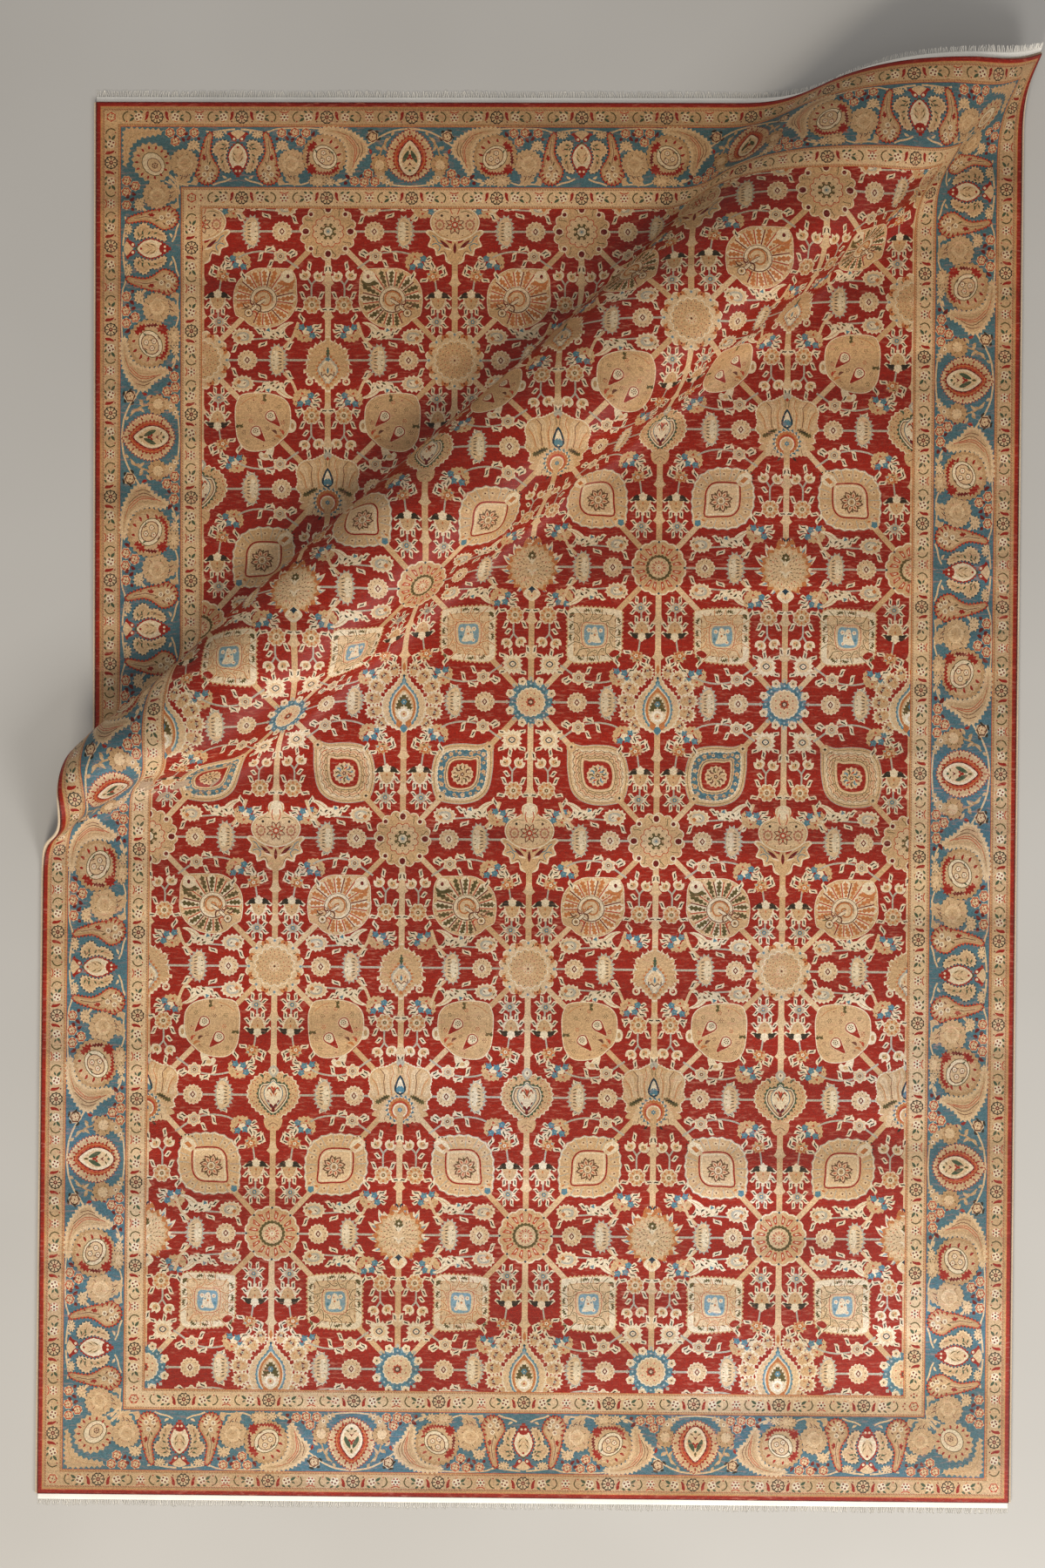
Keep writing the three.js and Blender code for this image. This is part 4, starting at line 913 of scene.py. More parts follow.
def between():
    # Half of the repeat, from an almond at 0 to a sunflower at 354
    m = []

    def blob(centre, across, up, teeth, tone="flax", turn=0.0):
        # A full shape with a lighter heart and a few veins
        rim = oval(centre, across * 1.12, up * 1.14, 18, turn)
        m = [(oval(centre, across * 1.14, up * 1.16, 12, turn), "ink")]
        m += [(toothed(rim, teeth * 3 // 2, 4), tone)]
        m += [(oval(centre - across * 0.1 + 0.15j * up, across * 0.6, up * 0.6, 9, turn), "sand")]
        for k in range(5):
            way = np.exp(2j * np.pi * (k + 0.4) / 5)
            spot = across * way.real + 1j * up * way.imag
            m.append((leaf(centre + spot * 0.45, centre + spot * 0.9, 1.8, 0.15, 1),
                      "brown" if k % 3 else "olive"))
        return m

    def line(wide, tone, *numbers):
        return [(stroke(at(*numbers), wide, 2), tone)]

    def petal(tone, wide, *numbers):
        p = at(*numbers)
        return [(leaf(a, b, wide, 0.1, 3), tone) for a, b in zip(p[::2], p[1::2])]

    # stems and thin scrolls
    m += line(3.4, "sand", 14, 44, 26, 50, 40, 53, 52, 58)
    m += line(3.6, "sand", 6, -57, 28, -55, 52, -51, 66, -53)
    m += line(3.2, "sand", 84, 57, 104, 55, 130, 57, 150, 50)
    m += line(3.0, "sand", 60, -50, 76, -57, 96, -59, 140, -60, 170, -58)
    m += line(3.4, "sand", 200, 52, 214, 50, 232, 40) + line(3.2, "sand", 292, 48, 318, 57, 354, 60)
    m += line(3.6, "sand", 262, -20, 276, -30, 296, -44, 322, -55, 354, -59)
    m += line(3.0, "tan", 292, 0, 298, -22, 314, -42)
    # the cone of flowers
    cone_shape = curve(40, 28, 46, 46, 62, 56, 78, 50, 86, 34, 80, 20, 77, 0, 71, -22, 63, -44, 53, -51,
                       55, -36, 58, -12, 52, 6, 44, 18)
    m += [(grown(cone_shape, 3.4), "ink"), (toothed(grown(cone_shape, 2.6), 36, 4.4), "rust"),
          (grown(cone_shape, -0.2), "tan"), (grown(cone_shape, -4), "flax")]
    m += petal("red", 4, 84, 40, 76, 34, 86, 30, 77, 27, 80, 48, 72, 41, 70, 55, 67, 46, 82, 18, 75, 18)
    for x, y in ((54, 36), (64, 22), (69, 36), (59, 46)):
        m += placed([(scallop(0, 5.8, 5, 0.2, 2), "cream"), dot("brown", 0, 2.6, 5),
                     dot("cream", 0, 1.1)], complex(x, y))
    m += [(toothed(at(65, 2, 69, 9, 74, 3, 70, -8), 6, 2), "red"), dot("red", 70 - 19j, 2, 5),
          (leaf(56 + 8j, 60 + 18j, 3.4, 0, 2), "olive")]
    m += [(stroke(at(62, 12, 66, -10, 62, -34), 1.3, 1), "brown")]
    m += petal("brown", 3, 48, 30, 54, 24, 60, 26, 66, 30, 50, 44, 56, 40)
    m += petal("red", 3.4, 48, 52, 54, 46, 60, 58, 63, 50, 44, 40, 50, 36)
    m += blob(40 - 46j, 10, 6.5, 7, "sand") + petal("sand", 5, 22, 44, 32, 38, 30, -56, 24, -46)
    # a full beige rose with its leaves
    m += [(toothed(curve(96, 32, 100, 48, 112, 59, 128, 54, 124, 40, 128, 28), 10, 4), "flax")]
    m += blob(111 + 12j, 26, 25, 13, "flax")
    m += [(toothed(oval(109 + 13j, 17, 16, 14), 9, 2.5), "sand"), (oval(108 + 13j, 11, 10, 10), "flax")]
    m += petal("tan", 2.6, 98, 20, 106, 30, 116, 28, 126, 22, 96, 6, 100, -4, 112, -6,
               124, 0, 104, 12, 114, 16)
    m += petal("brown", 2, 102, 34, 112, 46, 114, 36, 120, 50)
    m += petal("flax", 9, 84, 46, 98, 56, 92, 40, 84, 58) + blob(91 - 24j, 11, 9, 7, "sand")
    m += petal("sand", 6, 84, -18, 78, -8, 98, -22, 106, -14)
    for x, y in ((90, -50), (117, -51), (140, -50), (129, -32)):
        m += placed(rose(10, "rose"), complex(x, y))
    m += petal("deep", 7, 98, -44, 106, -34, 104, -52, 110, -44, 84, -40, 78, -34, 150, -42, 158,
               -54, 116, -40, 110, -30)
    m += petal("deep", 6, 126, -44, 132, -40)
    # the red palmette
    m += blob(178 - 2j, 41, 40, 17, "tan") + [(toothed(oval(178 - 2j, 39, 38, 18), 24, 3), "flax")]
    m += [(toothed(curve(142, 22, 146, 34, 164, 32, 160, 24, 152, 12), 9, 5), "red"),
          (toothed(curve(188, 34, 204, 30, 210, 16, 200, 20, 194, 26), 9, 5), "red"),
          (toothed(curve(142, -10, 146, -26, 162, -34, 160, -22, 152, -12), 9, 5), "red"),
          (toothed(curve(160, 36, 178, 36, 196, 36, 192, 29, 176, 31, 164, 30), 13, 4), "red"),
          (toothed(curve(141, 14, 141, 0, 143, -10, 148, -8, 146, 2, 147, 12), 9, 3.4), "deep")]
    m += petal("red", 5, 200, 14, 212, 10, 202, -4, 213, -8, 198, -18, 208, -24, 188, -28, 194,
               -37, 172, -31, 174, -39)
    m += [(oval(179, 28, 23, 18, 0.7), "olive"), (oval(179, 26.5, 21.5, 18, 0.7), "cream"),
          (oval(180 - 1j, 21, 17, 14, 0.7), "brown"), (oval(180 - 1j, 19.2, 15.2, 14, 0.7), "sand")]
    m += petal("brown", 2.4, 168, 10, 172, -4, 184, 10, 192, 2, 182, -4, 176, -14, 190, -6, 186, -14)
    for x, y in ((174, 7), (187, 3), (176, -9)):
        m += placed([(scallop(0, 6.4, 6, 0.2, 2), "brown"), (scallop(0, 5, 6, 0.2, 2), "cream"),
                     dot("rust", 0, 1.6)], complex(x, y))
    m += petal("green", 3, 190, -12, 198, -8, 162, -8, 158, -16)
    m += petal("brown", 2.6, 164, 14, 172, 19, 196, 12, 190, 18)
    m += blob(166 + 48j, 18, 11, 9, "flax") + blob(190 + 51j, 9, 7, 6, "sand")
    m += petal("sand", 6, 200, 52, 212, 58, 204, 48, 216, 44)
    # the long toothed leaf
    crescent = curve(231, 37, 240, 22, 250, 4, 265, -8, 263, -28, 247, -42, 222, -56, 180, -60, 166, -53,
                     194, -47, 214, -37, 224, -18, 227, 4, 224, 24)
    m += [(toothed(grown(crescent, 3.4), 36, 5), "sand"), (grown(crescent, -3.2), "flax")]
    m += line(1.3, "rust", 236, 22, 242, 2, 244, -20, 226, -44, 196, -54)
    m += line(1.3, "brown", 242, 10, 250, -8, 248, -24, 232, -44)
    m += line(1.3, "tan", 232, 14, 235, -6, 232, -26, 214, -44)
    m += line(1.3, "brown", 252, 0, 257, -14, 253, -30)
    m += line(1.3, "rust", 238, 10, 241, -8, 238, -24, 222, -42)
    m += line(1.3, "tan", 228, -44, 208, -52, 188, -54)
    # roses on both sides of its tip
    for x, y in ((240, 49), (260, 51), (282, 50), (268, 34)):
        m += placed(rose(10, "rose"), complex(x, y))
    m += petal("deep", 8, 230, 46, 220, 36, 226, 52, 218, 56)
    m += petal("deep", 6, 250, 42, 256, 34, 272, 42, 276, 40, 284, 38, 280, 28)
    m += petal("red", 6, 272, 22, 279, 12, 280, 8, 274, -2, 274, -6, 270, -18)
    m += placed(rose(12, "tan"), 277 - 42j)
    m += petal("dark", 5, 262, -38, 270, -48, 286, -34, 294, -42, 266, -54, 278, -58, 290, -50, 282, -54)
    # beside the sunflower
    m += blob(293 + 14j, 17, 17, 9, "tan") + [(oval(292 + 14j, 9, 9, 8), "sand")]
    m += [(toothed(curve(282, 30, 290, 46, 306, 58, 324, 56, 308, 44, 300, 30), 13, 5), "flax")]
    for x, y in ((296, 42), (308, 51)):
        m += placed([(scallop(0, 4.4, 5, 0.2, 2), "cream"), dot("brown", 0, 2)], complex(x, y))
    m += petal("flax", 6, 286, -8, 274, 2, 296, -14, 284, -22, 300, -26, 308, -12, 312, -40, 302,
               -30, 316, -44, 320, -56)
    m += petal("tan", 4, 284, -24, 290, -14, 302, -34, 306, -22)
    return m


def border_strip(centres):
    # Almonds and sunflowers by turns, with what grows between them
    figures = (almond(), sunflower())
    run = between()
    m = []
    for k, x in enumerate(centres):
        for side in () if k % 2 else (-1, 1):
            # Past the last almond the run stops short of the corner
            whole = 0 <= k + side < len(centres)
            span = abs(centres[k + side] - x) if whole else STRIP_SPAN
            reach = 400 if whole else 156
            m += [(p.real * span / STRIP_SPAN * side + 1j * p.imag + x, c) for p, c in run
                  if p.real.max() < reach]
        m += placed(figures[k % 2], complex(x, 0))
    return m


def rectangle(inset):
    return bar(complex(inset, inset), complex(WIDE - inset, LONG - inset))


def moved_to(strip, side):
    # A strip drawn along the near edge, put along one of the four edges
    ways = {"near": lambda p: p, "far": lambda p: np.conj(p) + 1j * LONG,
            "left": lambda p: p.imag + 1j * p.real, "right": lambda p: WIDE - p.imag + 1j * p.real}
    return [(ways[side](p), c) for p, c in strip]


def corner_piece():
    angle = curve(57, 134, 68, 120, 70, 98, 84, 80, 104, 72, 130, 68, 138, 58, 100, 55, 60, 55, 55, 84,
                  steps=3)
    m = [(toothed(angle, 26, 5), "flax"), (stroke(at(62, 118, 64, 84, 84, 66, 122, 61), 1.4, 2), "tan")]
    blossom = 115 + 125j
    heart_at = 118 + 128j
    seeds_at = 120 + 130j
    m += [(toothed(oval(blossom, 43, 38, 18, 0.8), 19, 5), "flax")]
    m += [(oval(heart_at, 27, 22, 16, 0.8), "olive"), (oval(heart_at, 25.4, 20.4, 16, 0.8), "cream")]
    m += [(oval(seeds_at, 17, 13, 12, 0.8), "brown"), (oval(seeds_at, 15.6, 11.6, 12, 0.8), "sand")]
    for a in np.arange(0, 6.2, 0.45):
        way = np.exp(1j * a)
        m.append((leaf(blossom + 27 * way, blossom + 36 * way, 4.5, 0.1, 3), "red"))
    m += placed(rose(7, "olive"), 121 + 131j)
    for wide, steps, numbers in ((5, 1, (150, 160, 160, 172, 168, 180)),
            (3, 2, (152, 150, 172, 168, 190, 172)), (3, 2, (150, 152, 168, 172, 172, 190))):
        m.append((stroke(at(*numbers), wide, steps), "sand"))
    return m


# How far inside the edge each band of colour starts
RINGS = ((0, "deep"), (2.2, "red"), (8.0, "rust"), (9.4, "gold"), (12.5, "tan"), (16.8, "flax"),
         (44.8, "tan"), (48, "gold"), (50, "rust"), (51.2, "teal"), (174.8, "rust"), (176, "gold"),
         (178, "flax"), (181, "sand"), (213, "flax"), (216, "gold"), (218, "rust"))
# The middle line of each narrow border, and where its first repeat stands
GUARDS = ((31.0, 125.0), (197.0, 300.0))
GUARD_REPEAT = 175.0
GUARD_HALF = 14
STRIP_MIDDLE = 113j
ACROSS_CENTRES = (292.0, 646.0, 1000.0, 1354.0, 1708.0)
ALONG_CENTRES = (302.0, 690.0, 1085.0, 1500.0, 1915.0, 2310.0, 2698.0)


def guard_borders(length):
    m = []
    unit = guard_unit()
    for inset, first in GUARDS:
        count = round((length - 2 * first) / GUARD_REPEAT)
        step = (length - 2 * first) / count
        low = inset + GUARD_HALF
        for k in range(-1, count + 2):
            motif = placed(unit, complex(first + k * step, inset))
            m += [(p, c) for p, c in motif if p.real.min() > low and p.real.max() < length - low]
        m += placed(rose(11, "rose"), complex(inset, inset))
    return m


def borders():
    m = [(rectangle(inset), colour) for inset, colour in RINGS]
    for sides, length, centres in ((("near", "far"), WIDE, ACROSS_CENTRES),
            (("left", "right"), LONG, ALONG_CENTRES)):
        strip = guard_borders(length) + [(p + STRIP_MIDDLE, c) for p, c in border_strip(centres)]
        for side in sides:
            m += moved_to(strip, side)
    near_left = corner_piece()
    far_left = [(np.conj(p) + 1j * LONG, c) for p, c in near_left]
    for corner in (near_left, far_left):
        m += corner
    for corner in (near_left, far_left):
        m += [(WIDE - np.conj(p), c) for p, c in corner]
    return m


# How the flat sheet lies. ALONG follows the ridge, and ACROSS crosses it square, from
# the far left part, which is pushed and turned, to the near part, which lies still.
MIDDLE = complex(WIDE / 2, LONG / 2)
PUSH = 105 - 126.5j
TURN = np.exp(1j * math.radians(0.455))
ACROSS = np.exp(1j * math.radians(-51.1))
ALONG = 1j * ACROSS
# Each row: place along the ridge, foot, crest and toe across it, height, where the wall
# and the slope are steepest as shares of their widths, and how the wall bends over
SECTIONS = np.array([
    (-780, -796, -628, -446, 122, 0.30, 0.50, 0.5), (-640, -801, -621, -411, 130, 0.28, 0.52, 0.7),
    (-470, -811, -576, -316, 134, 0.26, 0.58, 1.0), (-220, -826, -576, -316, 138, 0.24, 0.60, 1.2),
    (180, -841, -591, -336, 142, 0.22, 0.60, 1.2), (580, -861, -591, -346, 146, 0.22, 0.60, 1.2),
    (880, -891, -596, -351, 150, 0.24, 0.60, 1.2), (1180, -961, -606, -361, 154, 0.34, 0.60, 1.2),
    (1430, -991, -626, -371, 150, 0.42, 0.56, 1.2), (1720, -981, -676, -396, 132, 0.45, 0.50, 1.0)])
STEPS = 320
STEEPEST = math.radians(120)
HALVINGS = 26
FOLD_ACROSS = (-1010, -290)
FOLD_ALONG = (-1760, 1760)
PLACE_STEP = 8.0
LONG_EDGE = 14


def section_at(along):
    # A smooth curve through the rows of SECTIONS
    place = SECTIONS[:, 0]
    i = min(max(int(np.searchsorted(place, along)) - 1, 0), len(place) - 2)
    rows = SECTIONS[[max(i - 1, 0), i, i + 1, min(i + 2, len(place) - 1)]]
    span = rows[2, 0] - rows[1, 0]
    q = min(max((along - rows[1, 0]) / span, 0.0), 1.0)
    start = (rows[2] - rows[0]) / (rows[2, 0] - rows[0, 0])
    end = (rows[3] - rows[1]) / (rows[3, 0] - rows[1, 0])
    mix = ((1 + 2 * q) * (1 - q) ** 2, q * (1 - q) ** 2 * span, q * q * (3 - 2 * q),
           q * q * (q - 1) * span)
    return (mix[0] * rows[1] + mix[1] * start + mix[2] * rows[2] + mix[3] * end)[1:]


def side_of_ridge(shape, span, high):
    # The rise and the lost width of one side, made as steep as its height needs
    step = span / STEPS

    def run(steepest):
        angle = steepest * shape
        return np.concatenate([[0], np.cumsum(step * np.sin(angle))]), np.concatenate([[0],
                np.cumsum(step * (1 - np.cos(angle)))])

    low, top = 0.0, STEEPEST
    for _ in range(HALVINGS):
        middle = (low + top) / 2
        low, top = (middle, top) if run(middle)[0][-1] < high else (low, middle)
    return run(low)


def profiles():
    q = (np.arange(STEPS) + 0.5) / STEPS
    out = []
    for along in PLACES:
        foot, crest, toe, high, wall_at, slope_at, bend = section_at(along)
        wall = np.where(q < wall_at, (1 - np.cos(np.pi * q / wall_at)) / 2,
                        ((1 - q) / (1 - wall_at)) ** bend)
        slope = np.where(q < slope_at, np.sin(np.pi / 2 * q / slope_at),
                         (1 + np.cos(np.pi * (q - slope_at) / (1 - slope_at))) / 2)
        w, s = side_of_ridge(wall, crest - foot, high), side_of_ridge(slope, toe - crest, high)
        top = w[0][-1] / s[0][-1]
        out.append((foot, crest, toe, w[0], w[1], s[0] * top, s[1], w[1][-1] + s[1][-1]))
    return out


PLACES = np.arange(FOLD_ALONG[0], FOLD_ALONG[1] + 1.0, PLACE_STEP)
ridge = profiles()
FOOT, CREST, TOE, ALL_LOST = (np.array([r[k] for r in ridge]) for k in (0, 1, 2, 7))
RISE, LOST, FALL, GIVEN = (np.array([r[k] for r in ridge]) for k in (3, 4, 5, 6))


def laid(p):
    # Where points of the flat sheet, counted from its middle, lie on the floor
    across = (p * np.conj(ACROSS)).real
    along = (p * np.conj(ALONG)).real
    place = np.clip((along - PLACES[0]) / PLACE_STEP, 0, len(PLACES) - 1.001)
    row = place.astype(int)
    part = place - row
    foot, crest, toe, lost = (t[row] * (1 - part) + t[row + 1] * part
                              for t in (FOOT, CREST, TOE, ALL_LOST))

    def look(table, share):
        k = np.clip(share, 0, 1) * STEPS
        i = np.minimum(k.astype(int), STEPS - 1)
        f = k - i
        near = table[row, i] * (1 - f) + table[row, i + 1] * f
        return near * (1 - part) + (table[row + 1, i] * (1 - f) + table[row + 1, i + 1] * f) * part

    wall = (across - foot) / (crest - foot)
    slope = (across - crest) / (toe - crest)
    pushed = 1 - (look(LOST, wall) + look(GIVEN, slope)) / lost
    z = np.maximum(look(RISE, wall) - look(FALL, slope), 0)
    far = p * TURN + PUSH
    flat = p + pushed * (far - p)
    return np.stack([flat.real, flat.imag, z], -1)


def normals(p):
    a = laid(p + 2) - laid(p - 2)
    b = laid(p + 2j) - laid(p - 2j)
    n = np.cross(a, b)
    return n / np.linalg.norm(n, axis=-1, keepdims=True)


def over(uv, height):
    # A place of the flat rug, lifted square to the cloth, in metres
    p = np.asarray(uv, complex) - MIDDLE
    return (laid(p) + normals(p) * np.asarray(height, float)[..., None]) / 1000


# Meshes
def linear(rgb):
    c = np.array(rgb, float) / 255
    return np.where(c <= 0.04045, c / 12.92, ((c + 0.055) / 1.055) ** 2.4)


NAMES = list(COLOURS)
TONES = np.array([linear(COLOURS[n]) for n in NAMES])


def fold_lattice(low, high, step_across=11.0, step_along=22.0):
    # Points inside a rectangle of the flat rug where the cloth bends
    a = np.arange(*FOLD_ACROSS, step_across)
    b = np.arange(*FOLD_ALONG, step_along)
    grid = (a[:, None] * ACROSS + b[None, :] * ALONG).reshape(-1) + MIDDLE
    keep = (grid.real > low.real + 3) & (grid.real < high.real - 3) & (grid.imag > low.imag
            + 3) & (grid.imag < high.imag - 3)
    return grid[keep]


def edge_points(a, b, step=6.0):
    count = max(int(abs(b - a) / step), 1)
    p = a + (b - a) * np.arange(count) / count
    across = ((p - MIDDLE) * np.conj(ACROSS)).real
    keep = (across > FOLD_ACROSS[0]) & (across < FOLD_ACROSS[1])
    keep[0] = True
    return p[keep]


def bendable(p):
    # Long edges get points in between where the cloth bends
    ends = np.roll(p, -1)
    if np.abs(ends - p).max() < LONG_EDGE:
        return p
    return np.concatenate([edge_points(a, b, 9.0) if abs(b - a) > LONG_EDGE else [a]
                           for a, b in zip(p, ends)])


def triangles(shapes, low, high, extra):
    # The rectangle cut along all outlines, each triangle with the topmost shape over it
    corners = [low, complex(high.real, low.imag), high, complex(low.real, high.imag)]
    ground = np.concatenate([edge_points(corners[k], corners[(k + 1) % 4]) for k in range(4)])
    loops = [ground] + [bendable(p) for p in shapes]
    ccw = []
    for p in loops:
        area = np.sum(p.real * np.roll(p.imag, -1) - np.roll(p.real, -1) * p.imag)
        ccw.append(p if area > 0 else p[::-1])
    sizes = [len(p) for p in ccw]
    starts = np.concatenate([[0], np.cumsum(sizes)])
    points = np.concatenate(ccw + [extra])
    faces = [list(range(starts[k], starts[k + 1])) for k in range(len(ccw))]
    middle = (low + high) / 2
    local = [Vector((z.real, z.imag)) for z in points - middle]
    verts, _, tris, _, _, ids = delaunay_2d_cdt(local, [], faces, 0, 1e-3, True)
    flat = np.array([(v[0], v[1]) for v in verts])
    flat = flat[:, 0] + 1j * flat[:, 1] + middle
    tris = np.array(tris)
    boxes = np.array([(p.real.min(), p.real.max(), p.imag.min(), p.imag.max()) for p in ccw])
    centre = flat[tris].mean(1)
    owner = np.repeat(np.arange(len(ids)), [len(k) for k in ids])
    which = np.array([j for k in ids for j in k])
    c, b = centre[owner], boxes[which]
    good = (c.real > b[:, 0]) & (c.real < b[:, 1]) & (c.imag > b[:, 2]) & (c.imag < b[:, 3])
    best = np.full(len(tris), -1)
    np.maximum.at(best, owner[good], which[good])
    inside = np.zeros(len(tris), bool)
    inside[owner[good & (which == 0)]] = True
    keep = inside & (best >= 0)
    return flat, tris[keep], best[keep]


def new_object(name, points, faces, material):
    mesh = bpy.data.meshes.new(name)
    mesh.from_pydata(np.asarray(points).tolist(), [], faces)
    mesh.update()
    mesh.polygons.foreach_set("use_smooth", [True] * len(mesh.polygons))
    obj = bpy.data.objects.new(name, mesh)
    bpy.context.scene.collection.objects.link(obj)
    mesh.materials.append(material)
    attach(obj, "root")
    return obj


def painted(name, items, low, high, material):
    # One panel of the pile, its triangles coloured by the pattern
    low, high = complex(*low), complex(*high)
    near = [(p, c) for p, c in items if p.real.max() > low.real and p.real.min() < high.real
            and p.imag.max() > low.imag and p.imag.min() < high.imag]
    flat, tris, best = triangles([p for p, _ in near], low, high, fold_lattice(low, high))
    tone = np.array([NAMES.index("red")] + [NAMES.index(c) for _, c in near])[best]
    used, tris = np.unique(tris, return_inverse=True)
    tris = tris.reshape(-1, 3)
    flat = flat[used]
    mesh_points = over(flat, np.full(len(flat), PILE_TOP))
    obj = new_object(name, mesh_points, tris.tolist(), material)
    mesh = obj.data
    colours = mesh.color_attributes.new("Pattern", "FLOAT_COLOR", "CORNER")
    rgba = np.ones((len(tris) * 3, 4))
    rgba[:, :3] = np.repeat(TONES[tone], 3, 0)
    colours.data.foreach_set("color", rgba.reshape(-1))
    uv = mesh.uv_layers.new(name="OFBake")
    place = flat[tris.reshape(-1)] - low
    size = high - low
    uv.data.foreach_set("uv", np.stack([place.real / size.real, place.imag / size.imag], -1).reshape(-1))
    sheet_at = mesh.attributes.new("flat_place", "FLOAT_VECTOR", "POINT")
    spot = np.stack([flat.real, flat.imag, 0 * flat.real], -1) / 1000
    sheet_at.data.foreach_set("vector", spot.reshape(-1))
    mesh.normals_split_custom_set_from_vertices(normals(flat - MIDDLE).tolist())
    print(name, len(tris), "triangles", len(near), "shapes")
    return obj


# Materials
STITCHED_INSETS = (15.6, 46.4, 179.5, 214.5)
STITCH_HALF = 1.1
STITCH_REACH = 250
STITCH_PITCH = 0.0052
STITCH_TONE = (0.36, 0.11, 0.05, 1)
WORN_TONE = (0.56, 0.24, 0.15, 1)
# Painted sheen: the tint that pales the pile in patches
PAINTED_SHEEN_TINT = (1.16, 1.30, 1.62, 1)
# Painted shade: the tint that darkens the far end of the pile
FAR_END_PAINTED_SHADE = (0.86, 0.76, 0.64)
BACK_DARK, BACK_PALE = (0.30, 0.20, 0.13, 1), (0.50, 0.37, 0.25, 1)
BINDING_DARK, BINDING_PALE = (0.50, 0.36, 0.23), (0.74, 0.60, 0.43)
FRINGE_DARK, FRINGE_PALE = (0.78, 0.74, 0.66), (0.96, 0.93, 0.87)


def node_material(name):
    material = bpy.data.materials.new(name)
    material.use_nodes = True
    tree = material.node_tree
    tree.nodes.clear()
    out = tree.nodes.new("ShaderNodeOutputMaterial")
    shader = tree.nodes.new("ShaderNodeBsdfPrincipled")
    tree.links.new(shader.outputs[0], out.inputs[0])
    return material, tree, shader


def add(tree, kind, **settings):
    node = tree.nodes.new(kind)
    for key, value in settings.items():
        setattr(node, key, value)
    return node


def feed(tree, socket, value):
    if isinstance(value, bpy.types.NodeSocket):
        tree.links.new(value, socket)
    else:
        socket.default_value = value


def mix(tree, mode, factor, a, b):
    # Sockets 6 and 7 are the two colours, and output 2 is the mixed one
    node = add(tree, "ShaderNodeMix", data_type="RGBA", blend_type=mode)
    for socket, value in ((0, factor), (6, a), (7, b)):
        feed(tree, node.inputs[socket], value)
    return node.outputs[2]


def tinted(tree, colour, source, low, high):
    # A colour times a grey that goes from low to high; each is (place, value)
    return mix(tree, "MULTIPLY", 1.0, colour, ramp(tree, source, (low, high)))


def ramp(tree, source, stops, interpolation="LINEAR"):
    node = add(tree, "ShaderNodeValToRGB")
    node.color_ramp.interpolation = interpolation
    while len(node.color_ramp.elements) < len(stops):
        node.color_ramp.elements.new(0.5)
    for element, (place, value) in zip(node.color_ramp.elements, stops):
        element.position = place
        element.color = (value, value, value, 1) if isinstance(value, (int, float)) else (*value, 1)
    tree.links.new(source, node.inputs[0])
    return node.outputs[0]


def noise(tree, where, scale, detail=2.0, rough=0.5, stretch=(1, 1, 1)):
    mapping = add(tree, "ShaderNodeMapping")
    mapping.inputs["Scale"].default_value = stretch
    tree.links.new(where, mapping.inputs[0])
    node = add(tree, "ShaderNodeTexNoise")
    node.inputs["Scale"].default_value = scale
    node.inputs["Detail"].default_value = detail
    node.inputs["Roughness"].default_value = rough
    tree.links.new(mapping.outputs[0], node.inputs["Vector"])
    return node.outputs[0]


def math_node(tree, operation, *values):
    node = add(tree, "ShaderNodeMath", operation=operation)
    for socket, value in zip(node.inputs, values):
        feed(tree, socket, value)
    return node.outputs[0]


def bumped(tree, shader, height, strength, distance):
    bump = add(tree, "ShaderNodeBump")
    bump.inputs["Strength"].default_value = strength
    bump.inputs["Distance"].default_value = distance
    tree.links.new(height, bump.inputs["Height"])
    tree.links.new(bump.outputs[0], shader.inputs["Normal"])


def stitched_lines(tree, place):
    # The fine two-colour lines along both sides of the narrow borders
    parts = add(tree, "ShaderNodeSeparateXYZ")
    tree.links.new(place, parts.inputs[0])
    u, v = parts.outputs[0], parts.outputs[1]
    across = math_node(tree, "MINIMUM", u, math_node(tree, "SUBTRACT", WIDE / 1000, u))
    along = math_node(tree, "MINIMUM", v, math_node(tree, "SUBTRACT", LONG / 1000, v))
    inset = math_node(tree, "MINIMUM", across, along)
    stops = [(0.0, 0.0)]
    for middle in STITCHED_INSETS:
        stops += [((middle - STITCH_HALF) / STITCH_REACH, 1.0),
                  ((middle + STITCH_HALF) / STITCH_REACH, 0.0)]
    share = math_node(tree, "MULTIPLY", inset, 1000 / STITCH_REACH)
    lines = ramp(tree, share, stops, "CONSTANT")
    run = math_node(tree, "MULTIPLY", math_node(tree, "ADD", u, v), 2 * math.pi / STITCH_PITCH)
    stitches = math_node(tree, "GREATER_THAN", math_node(tree, "SINE", run), 0.0)
    return math_node(tree, "MULTIPLY", lines, stitches)


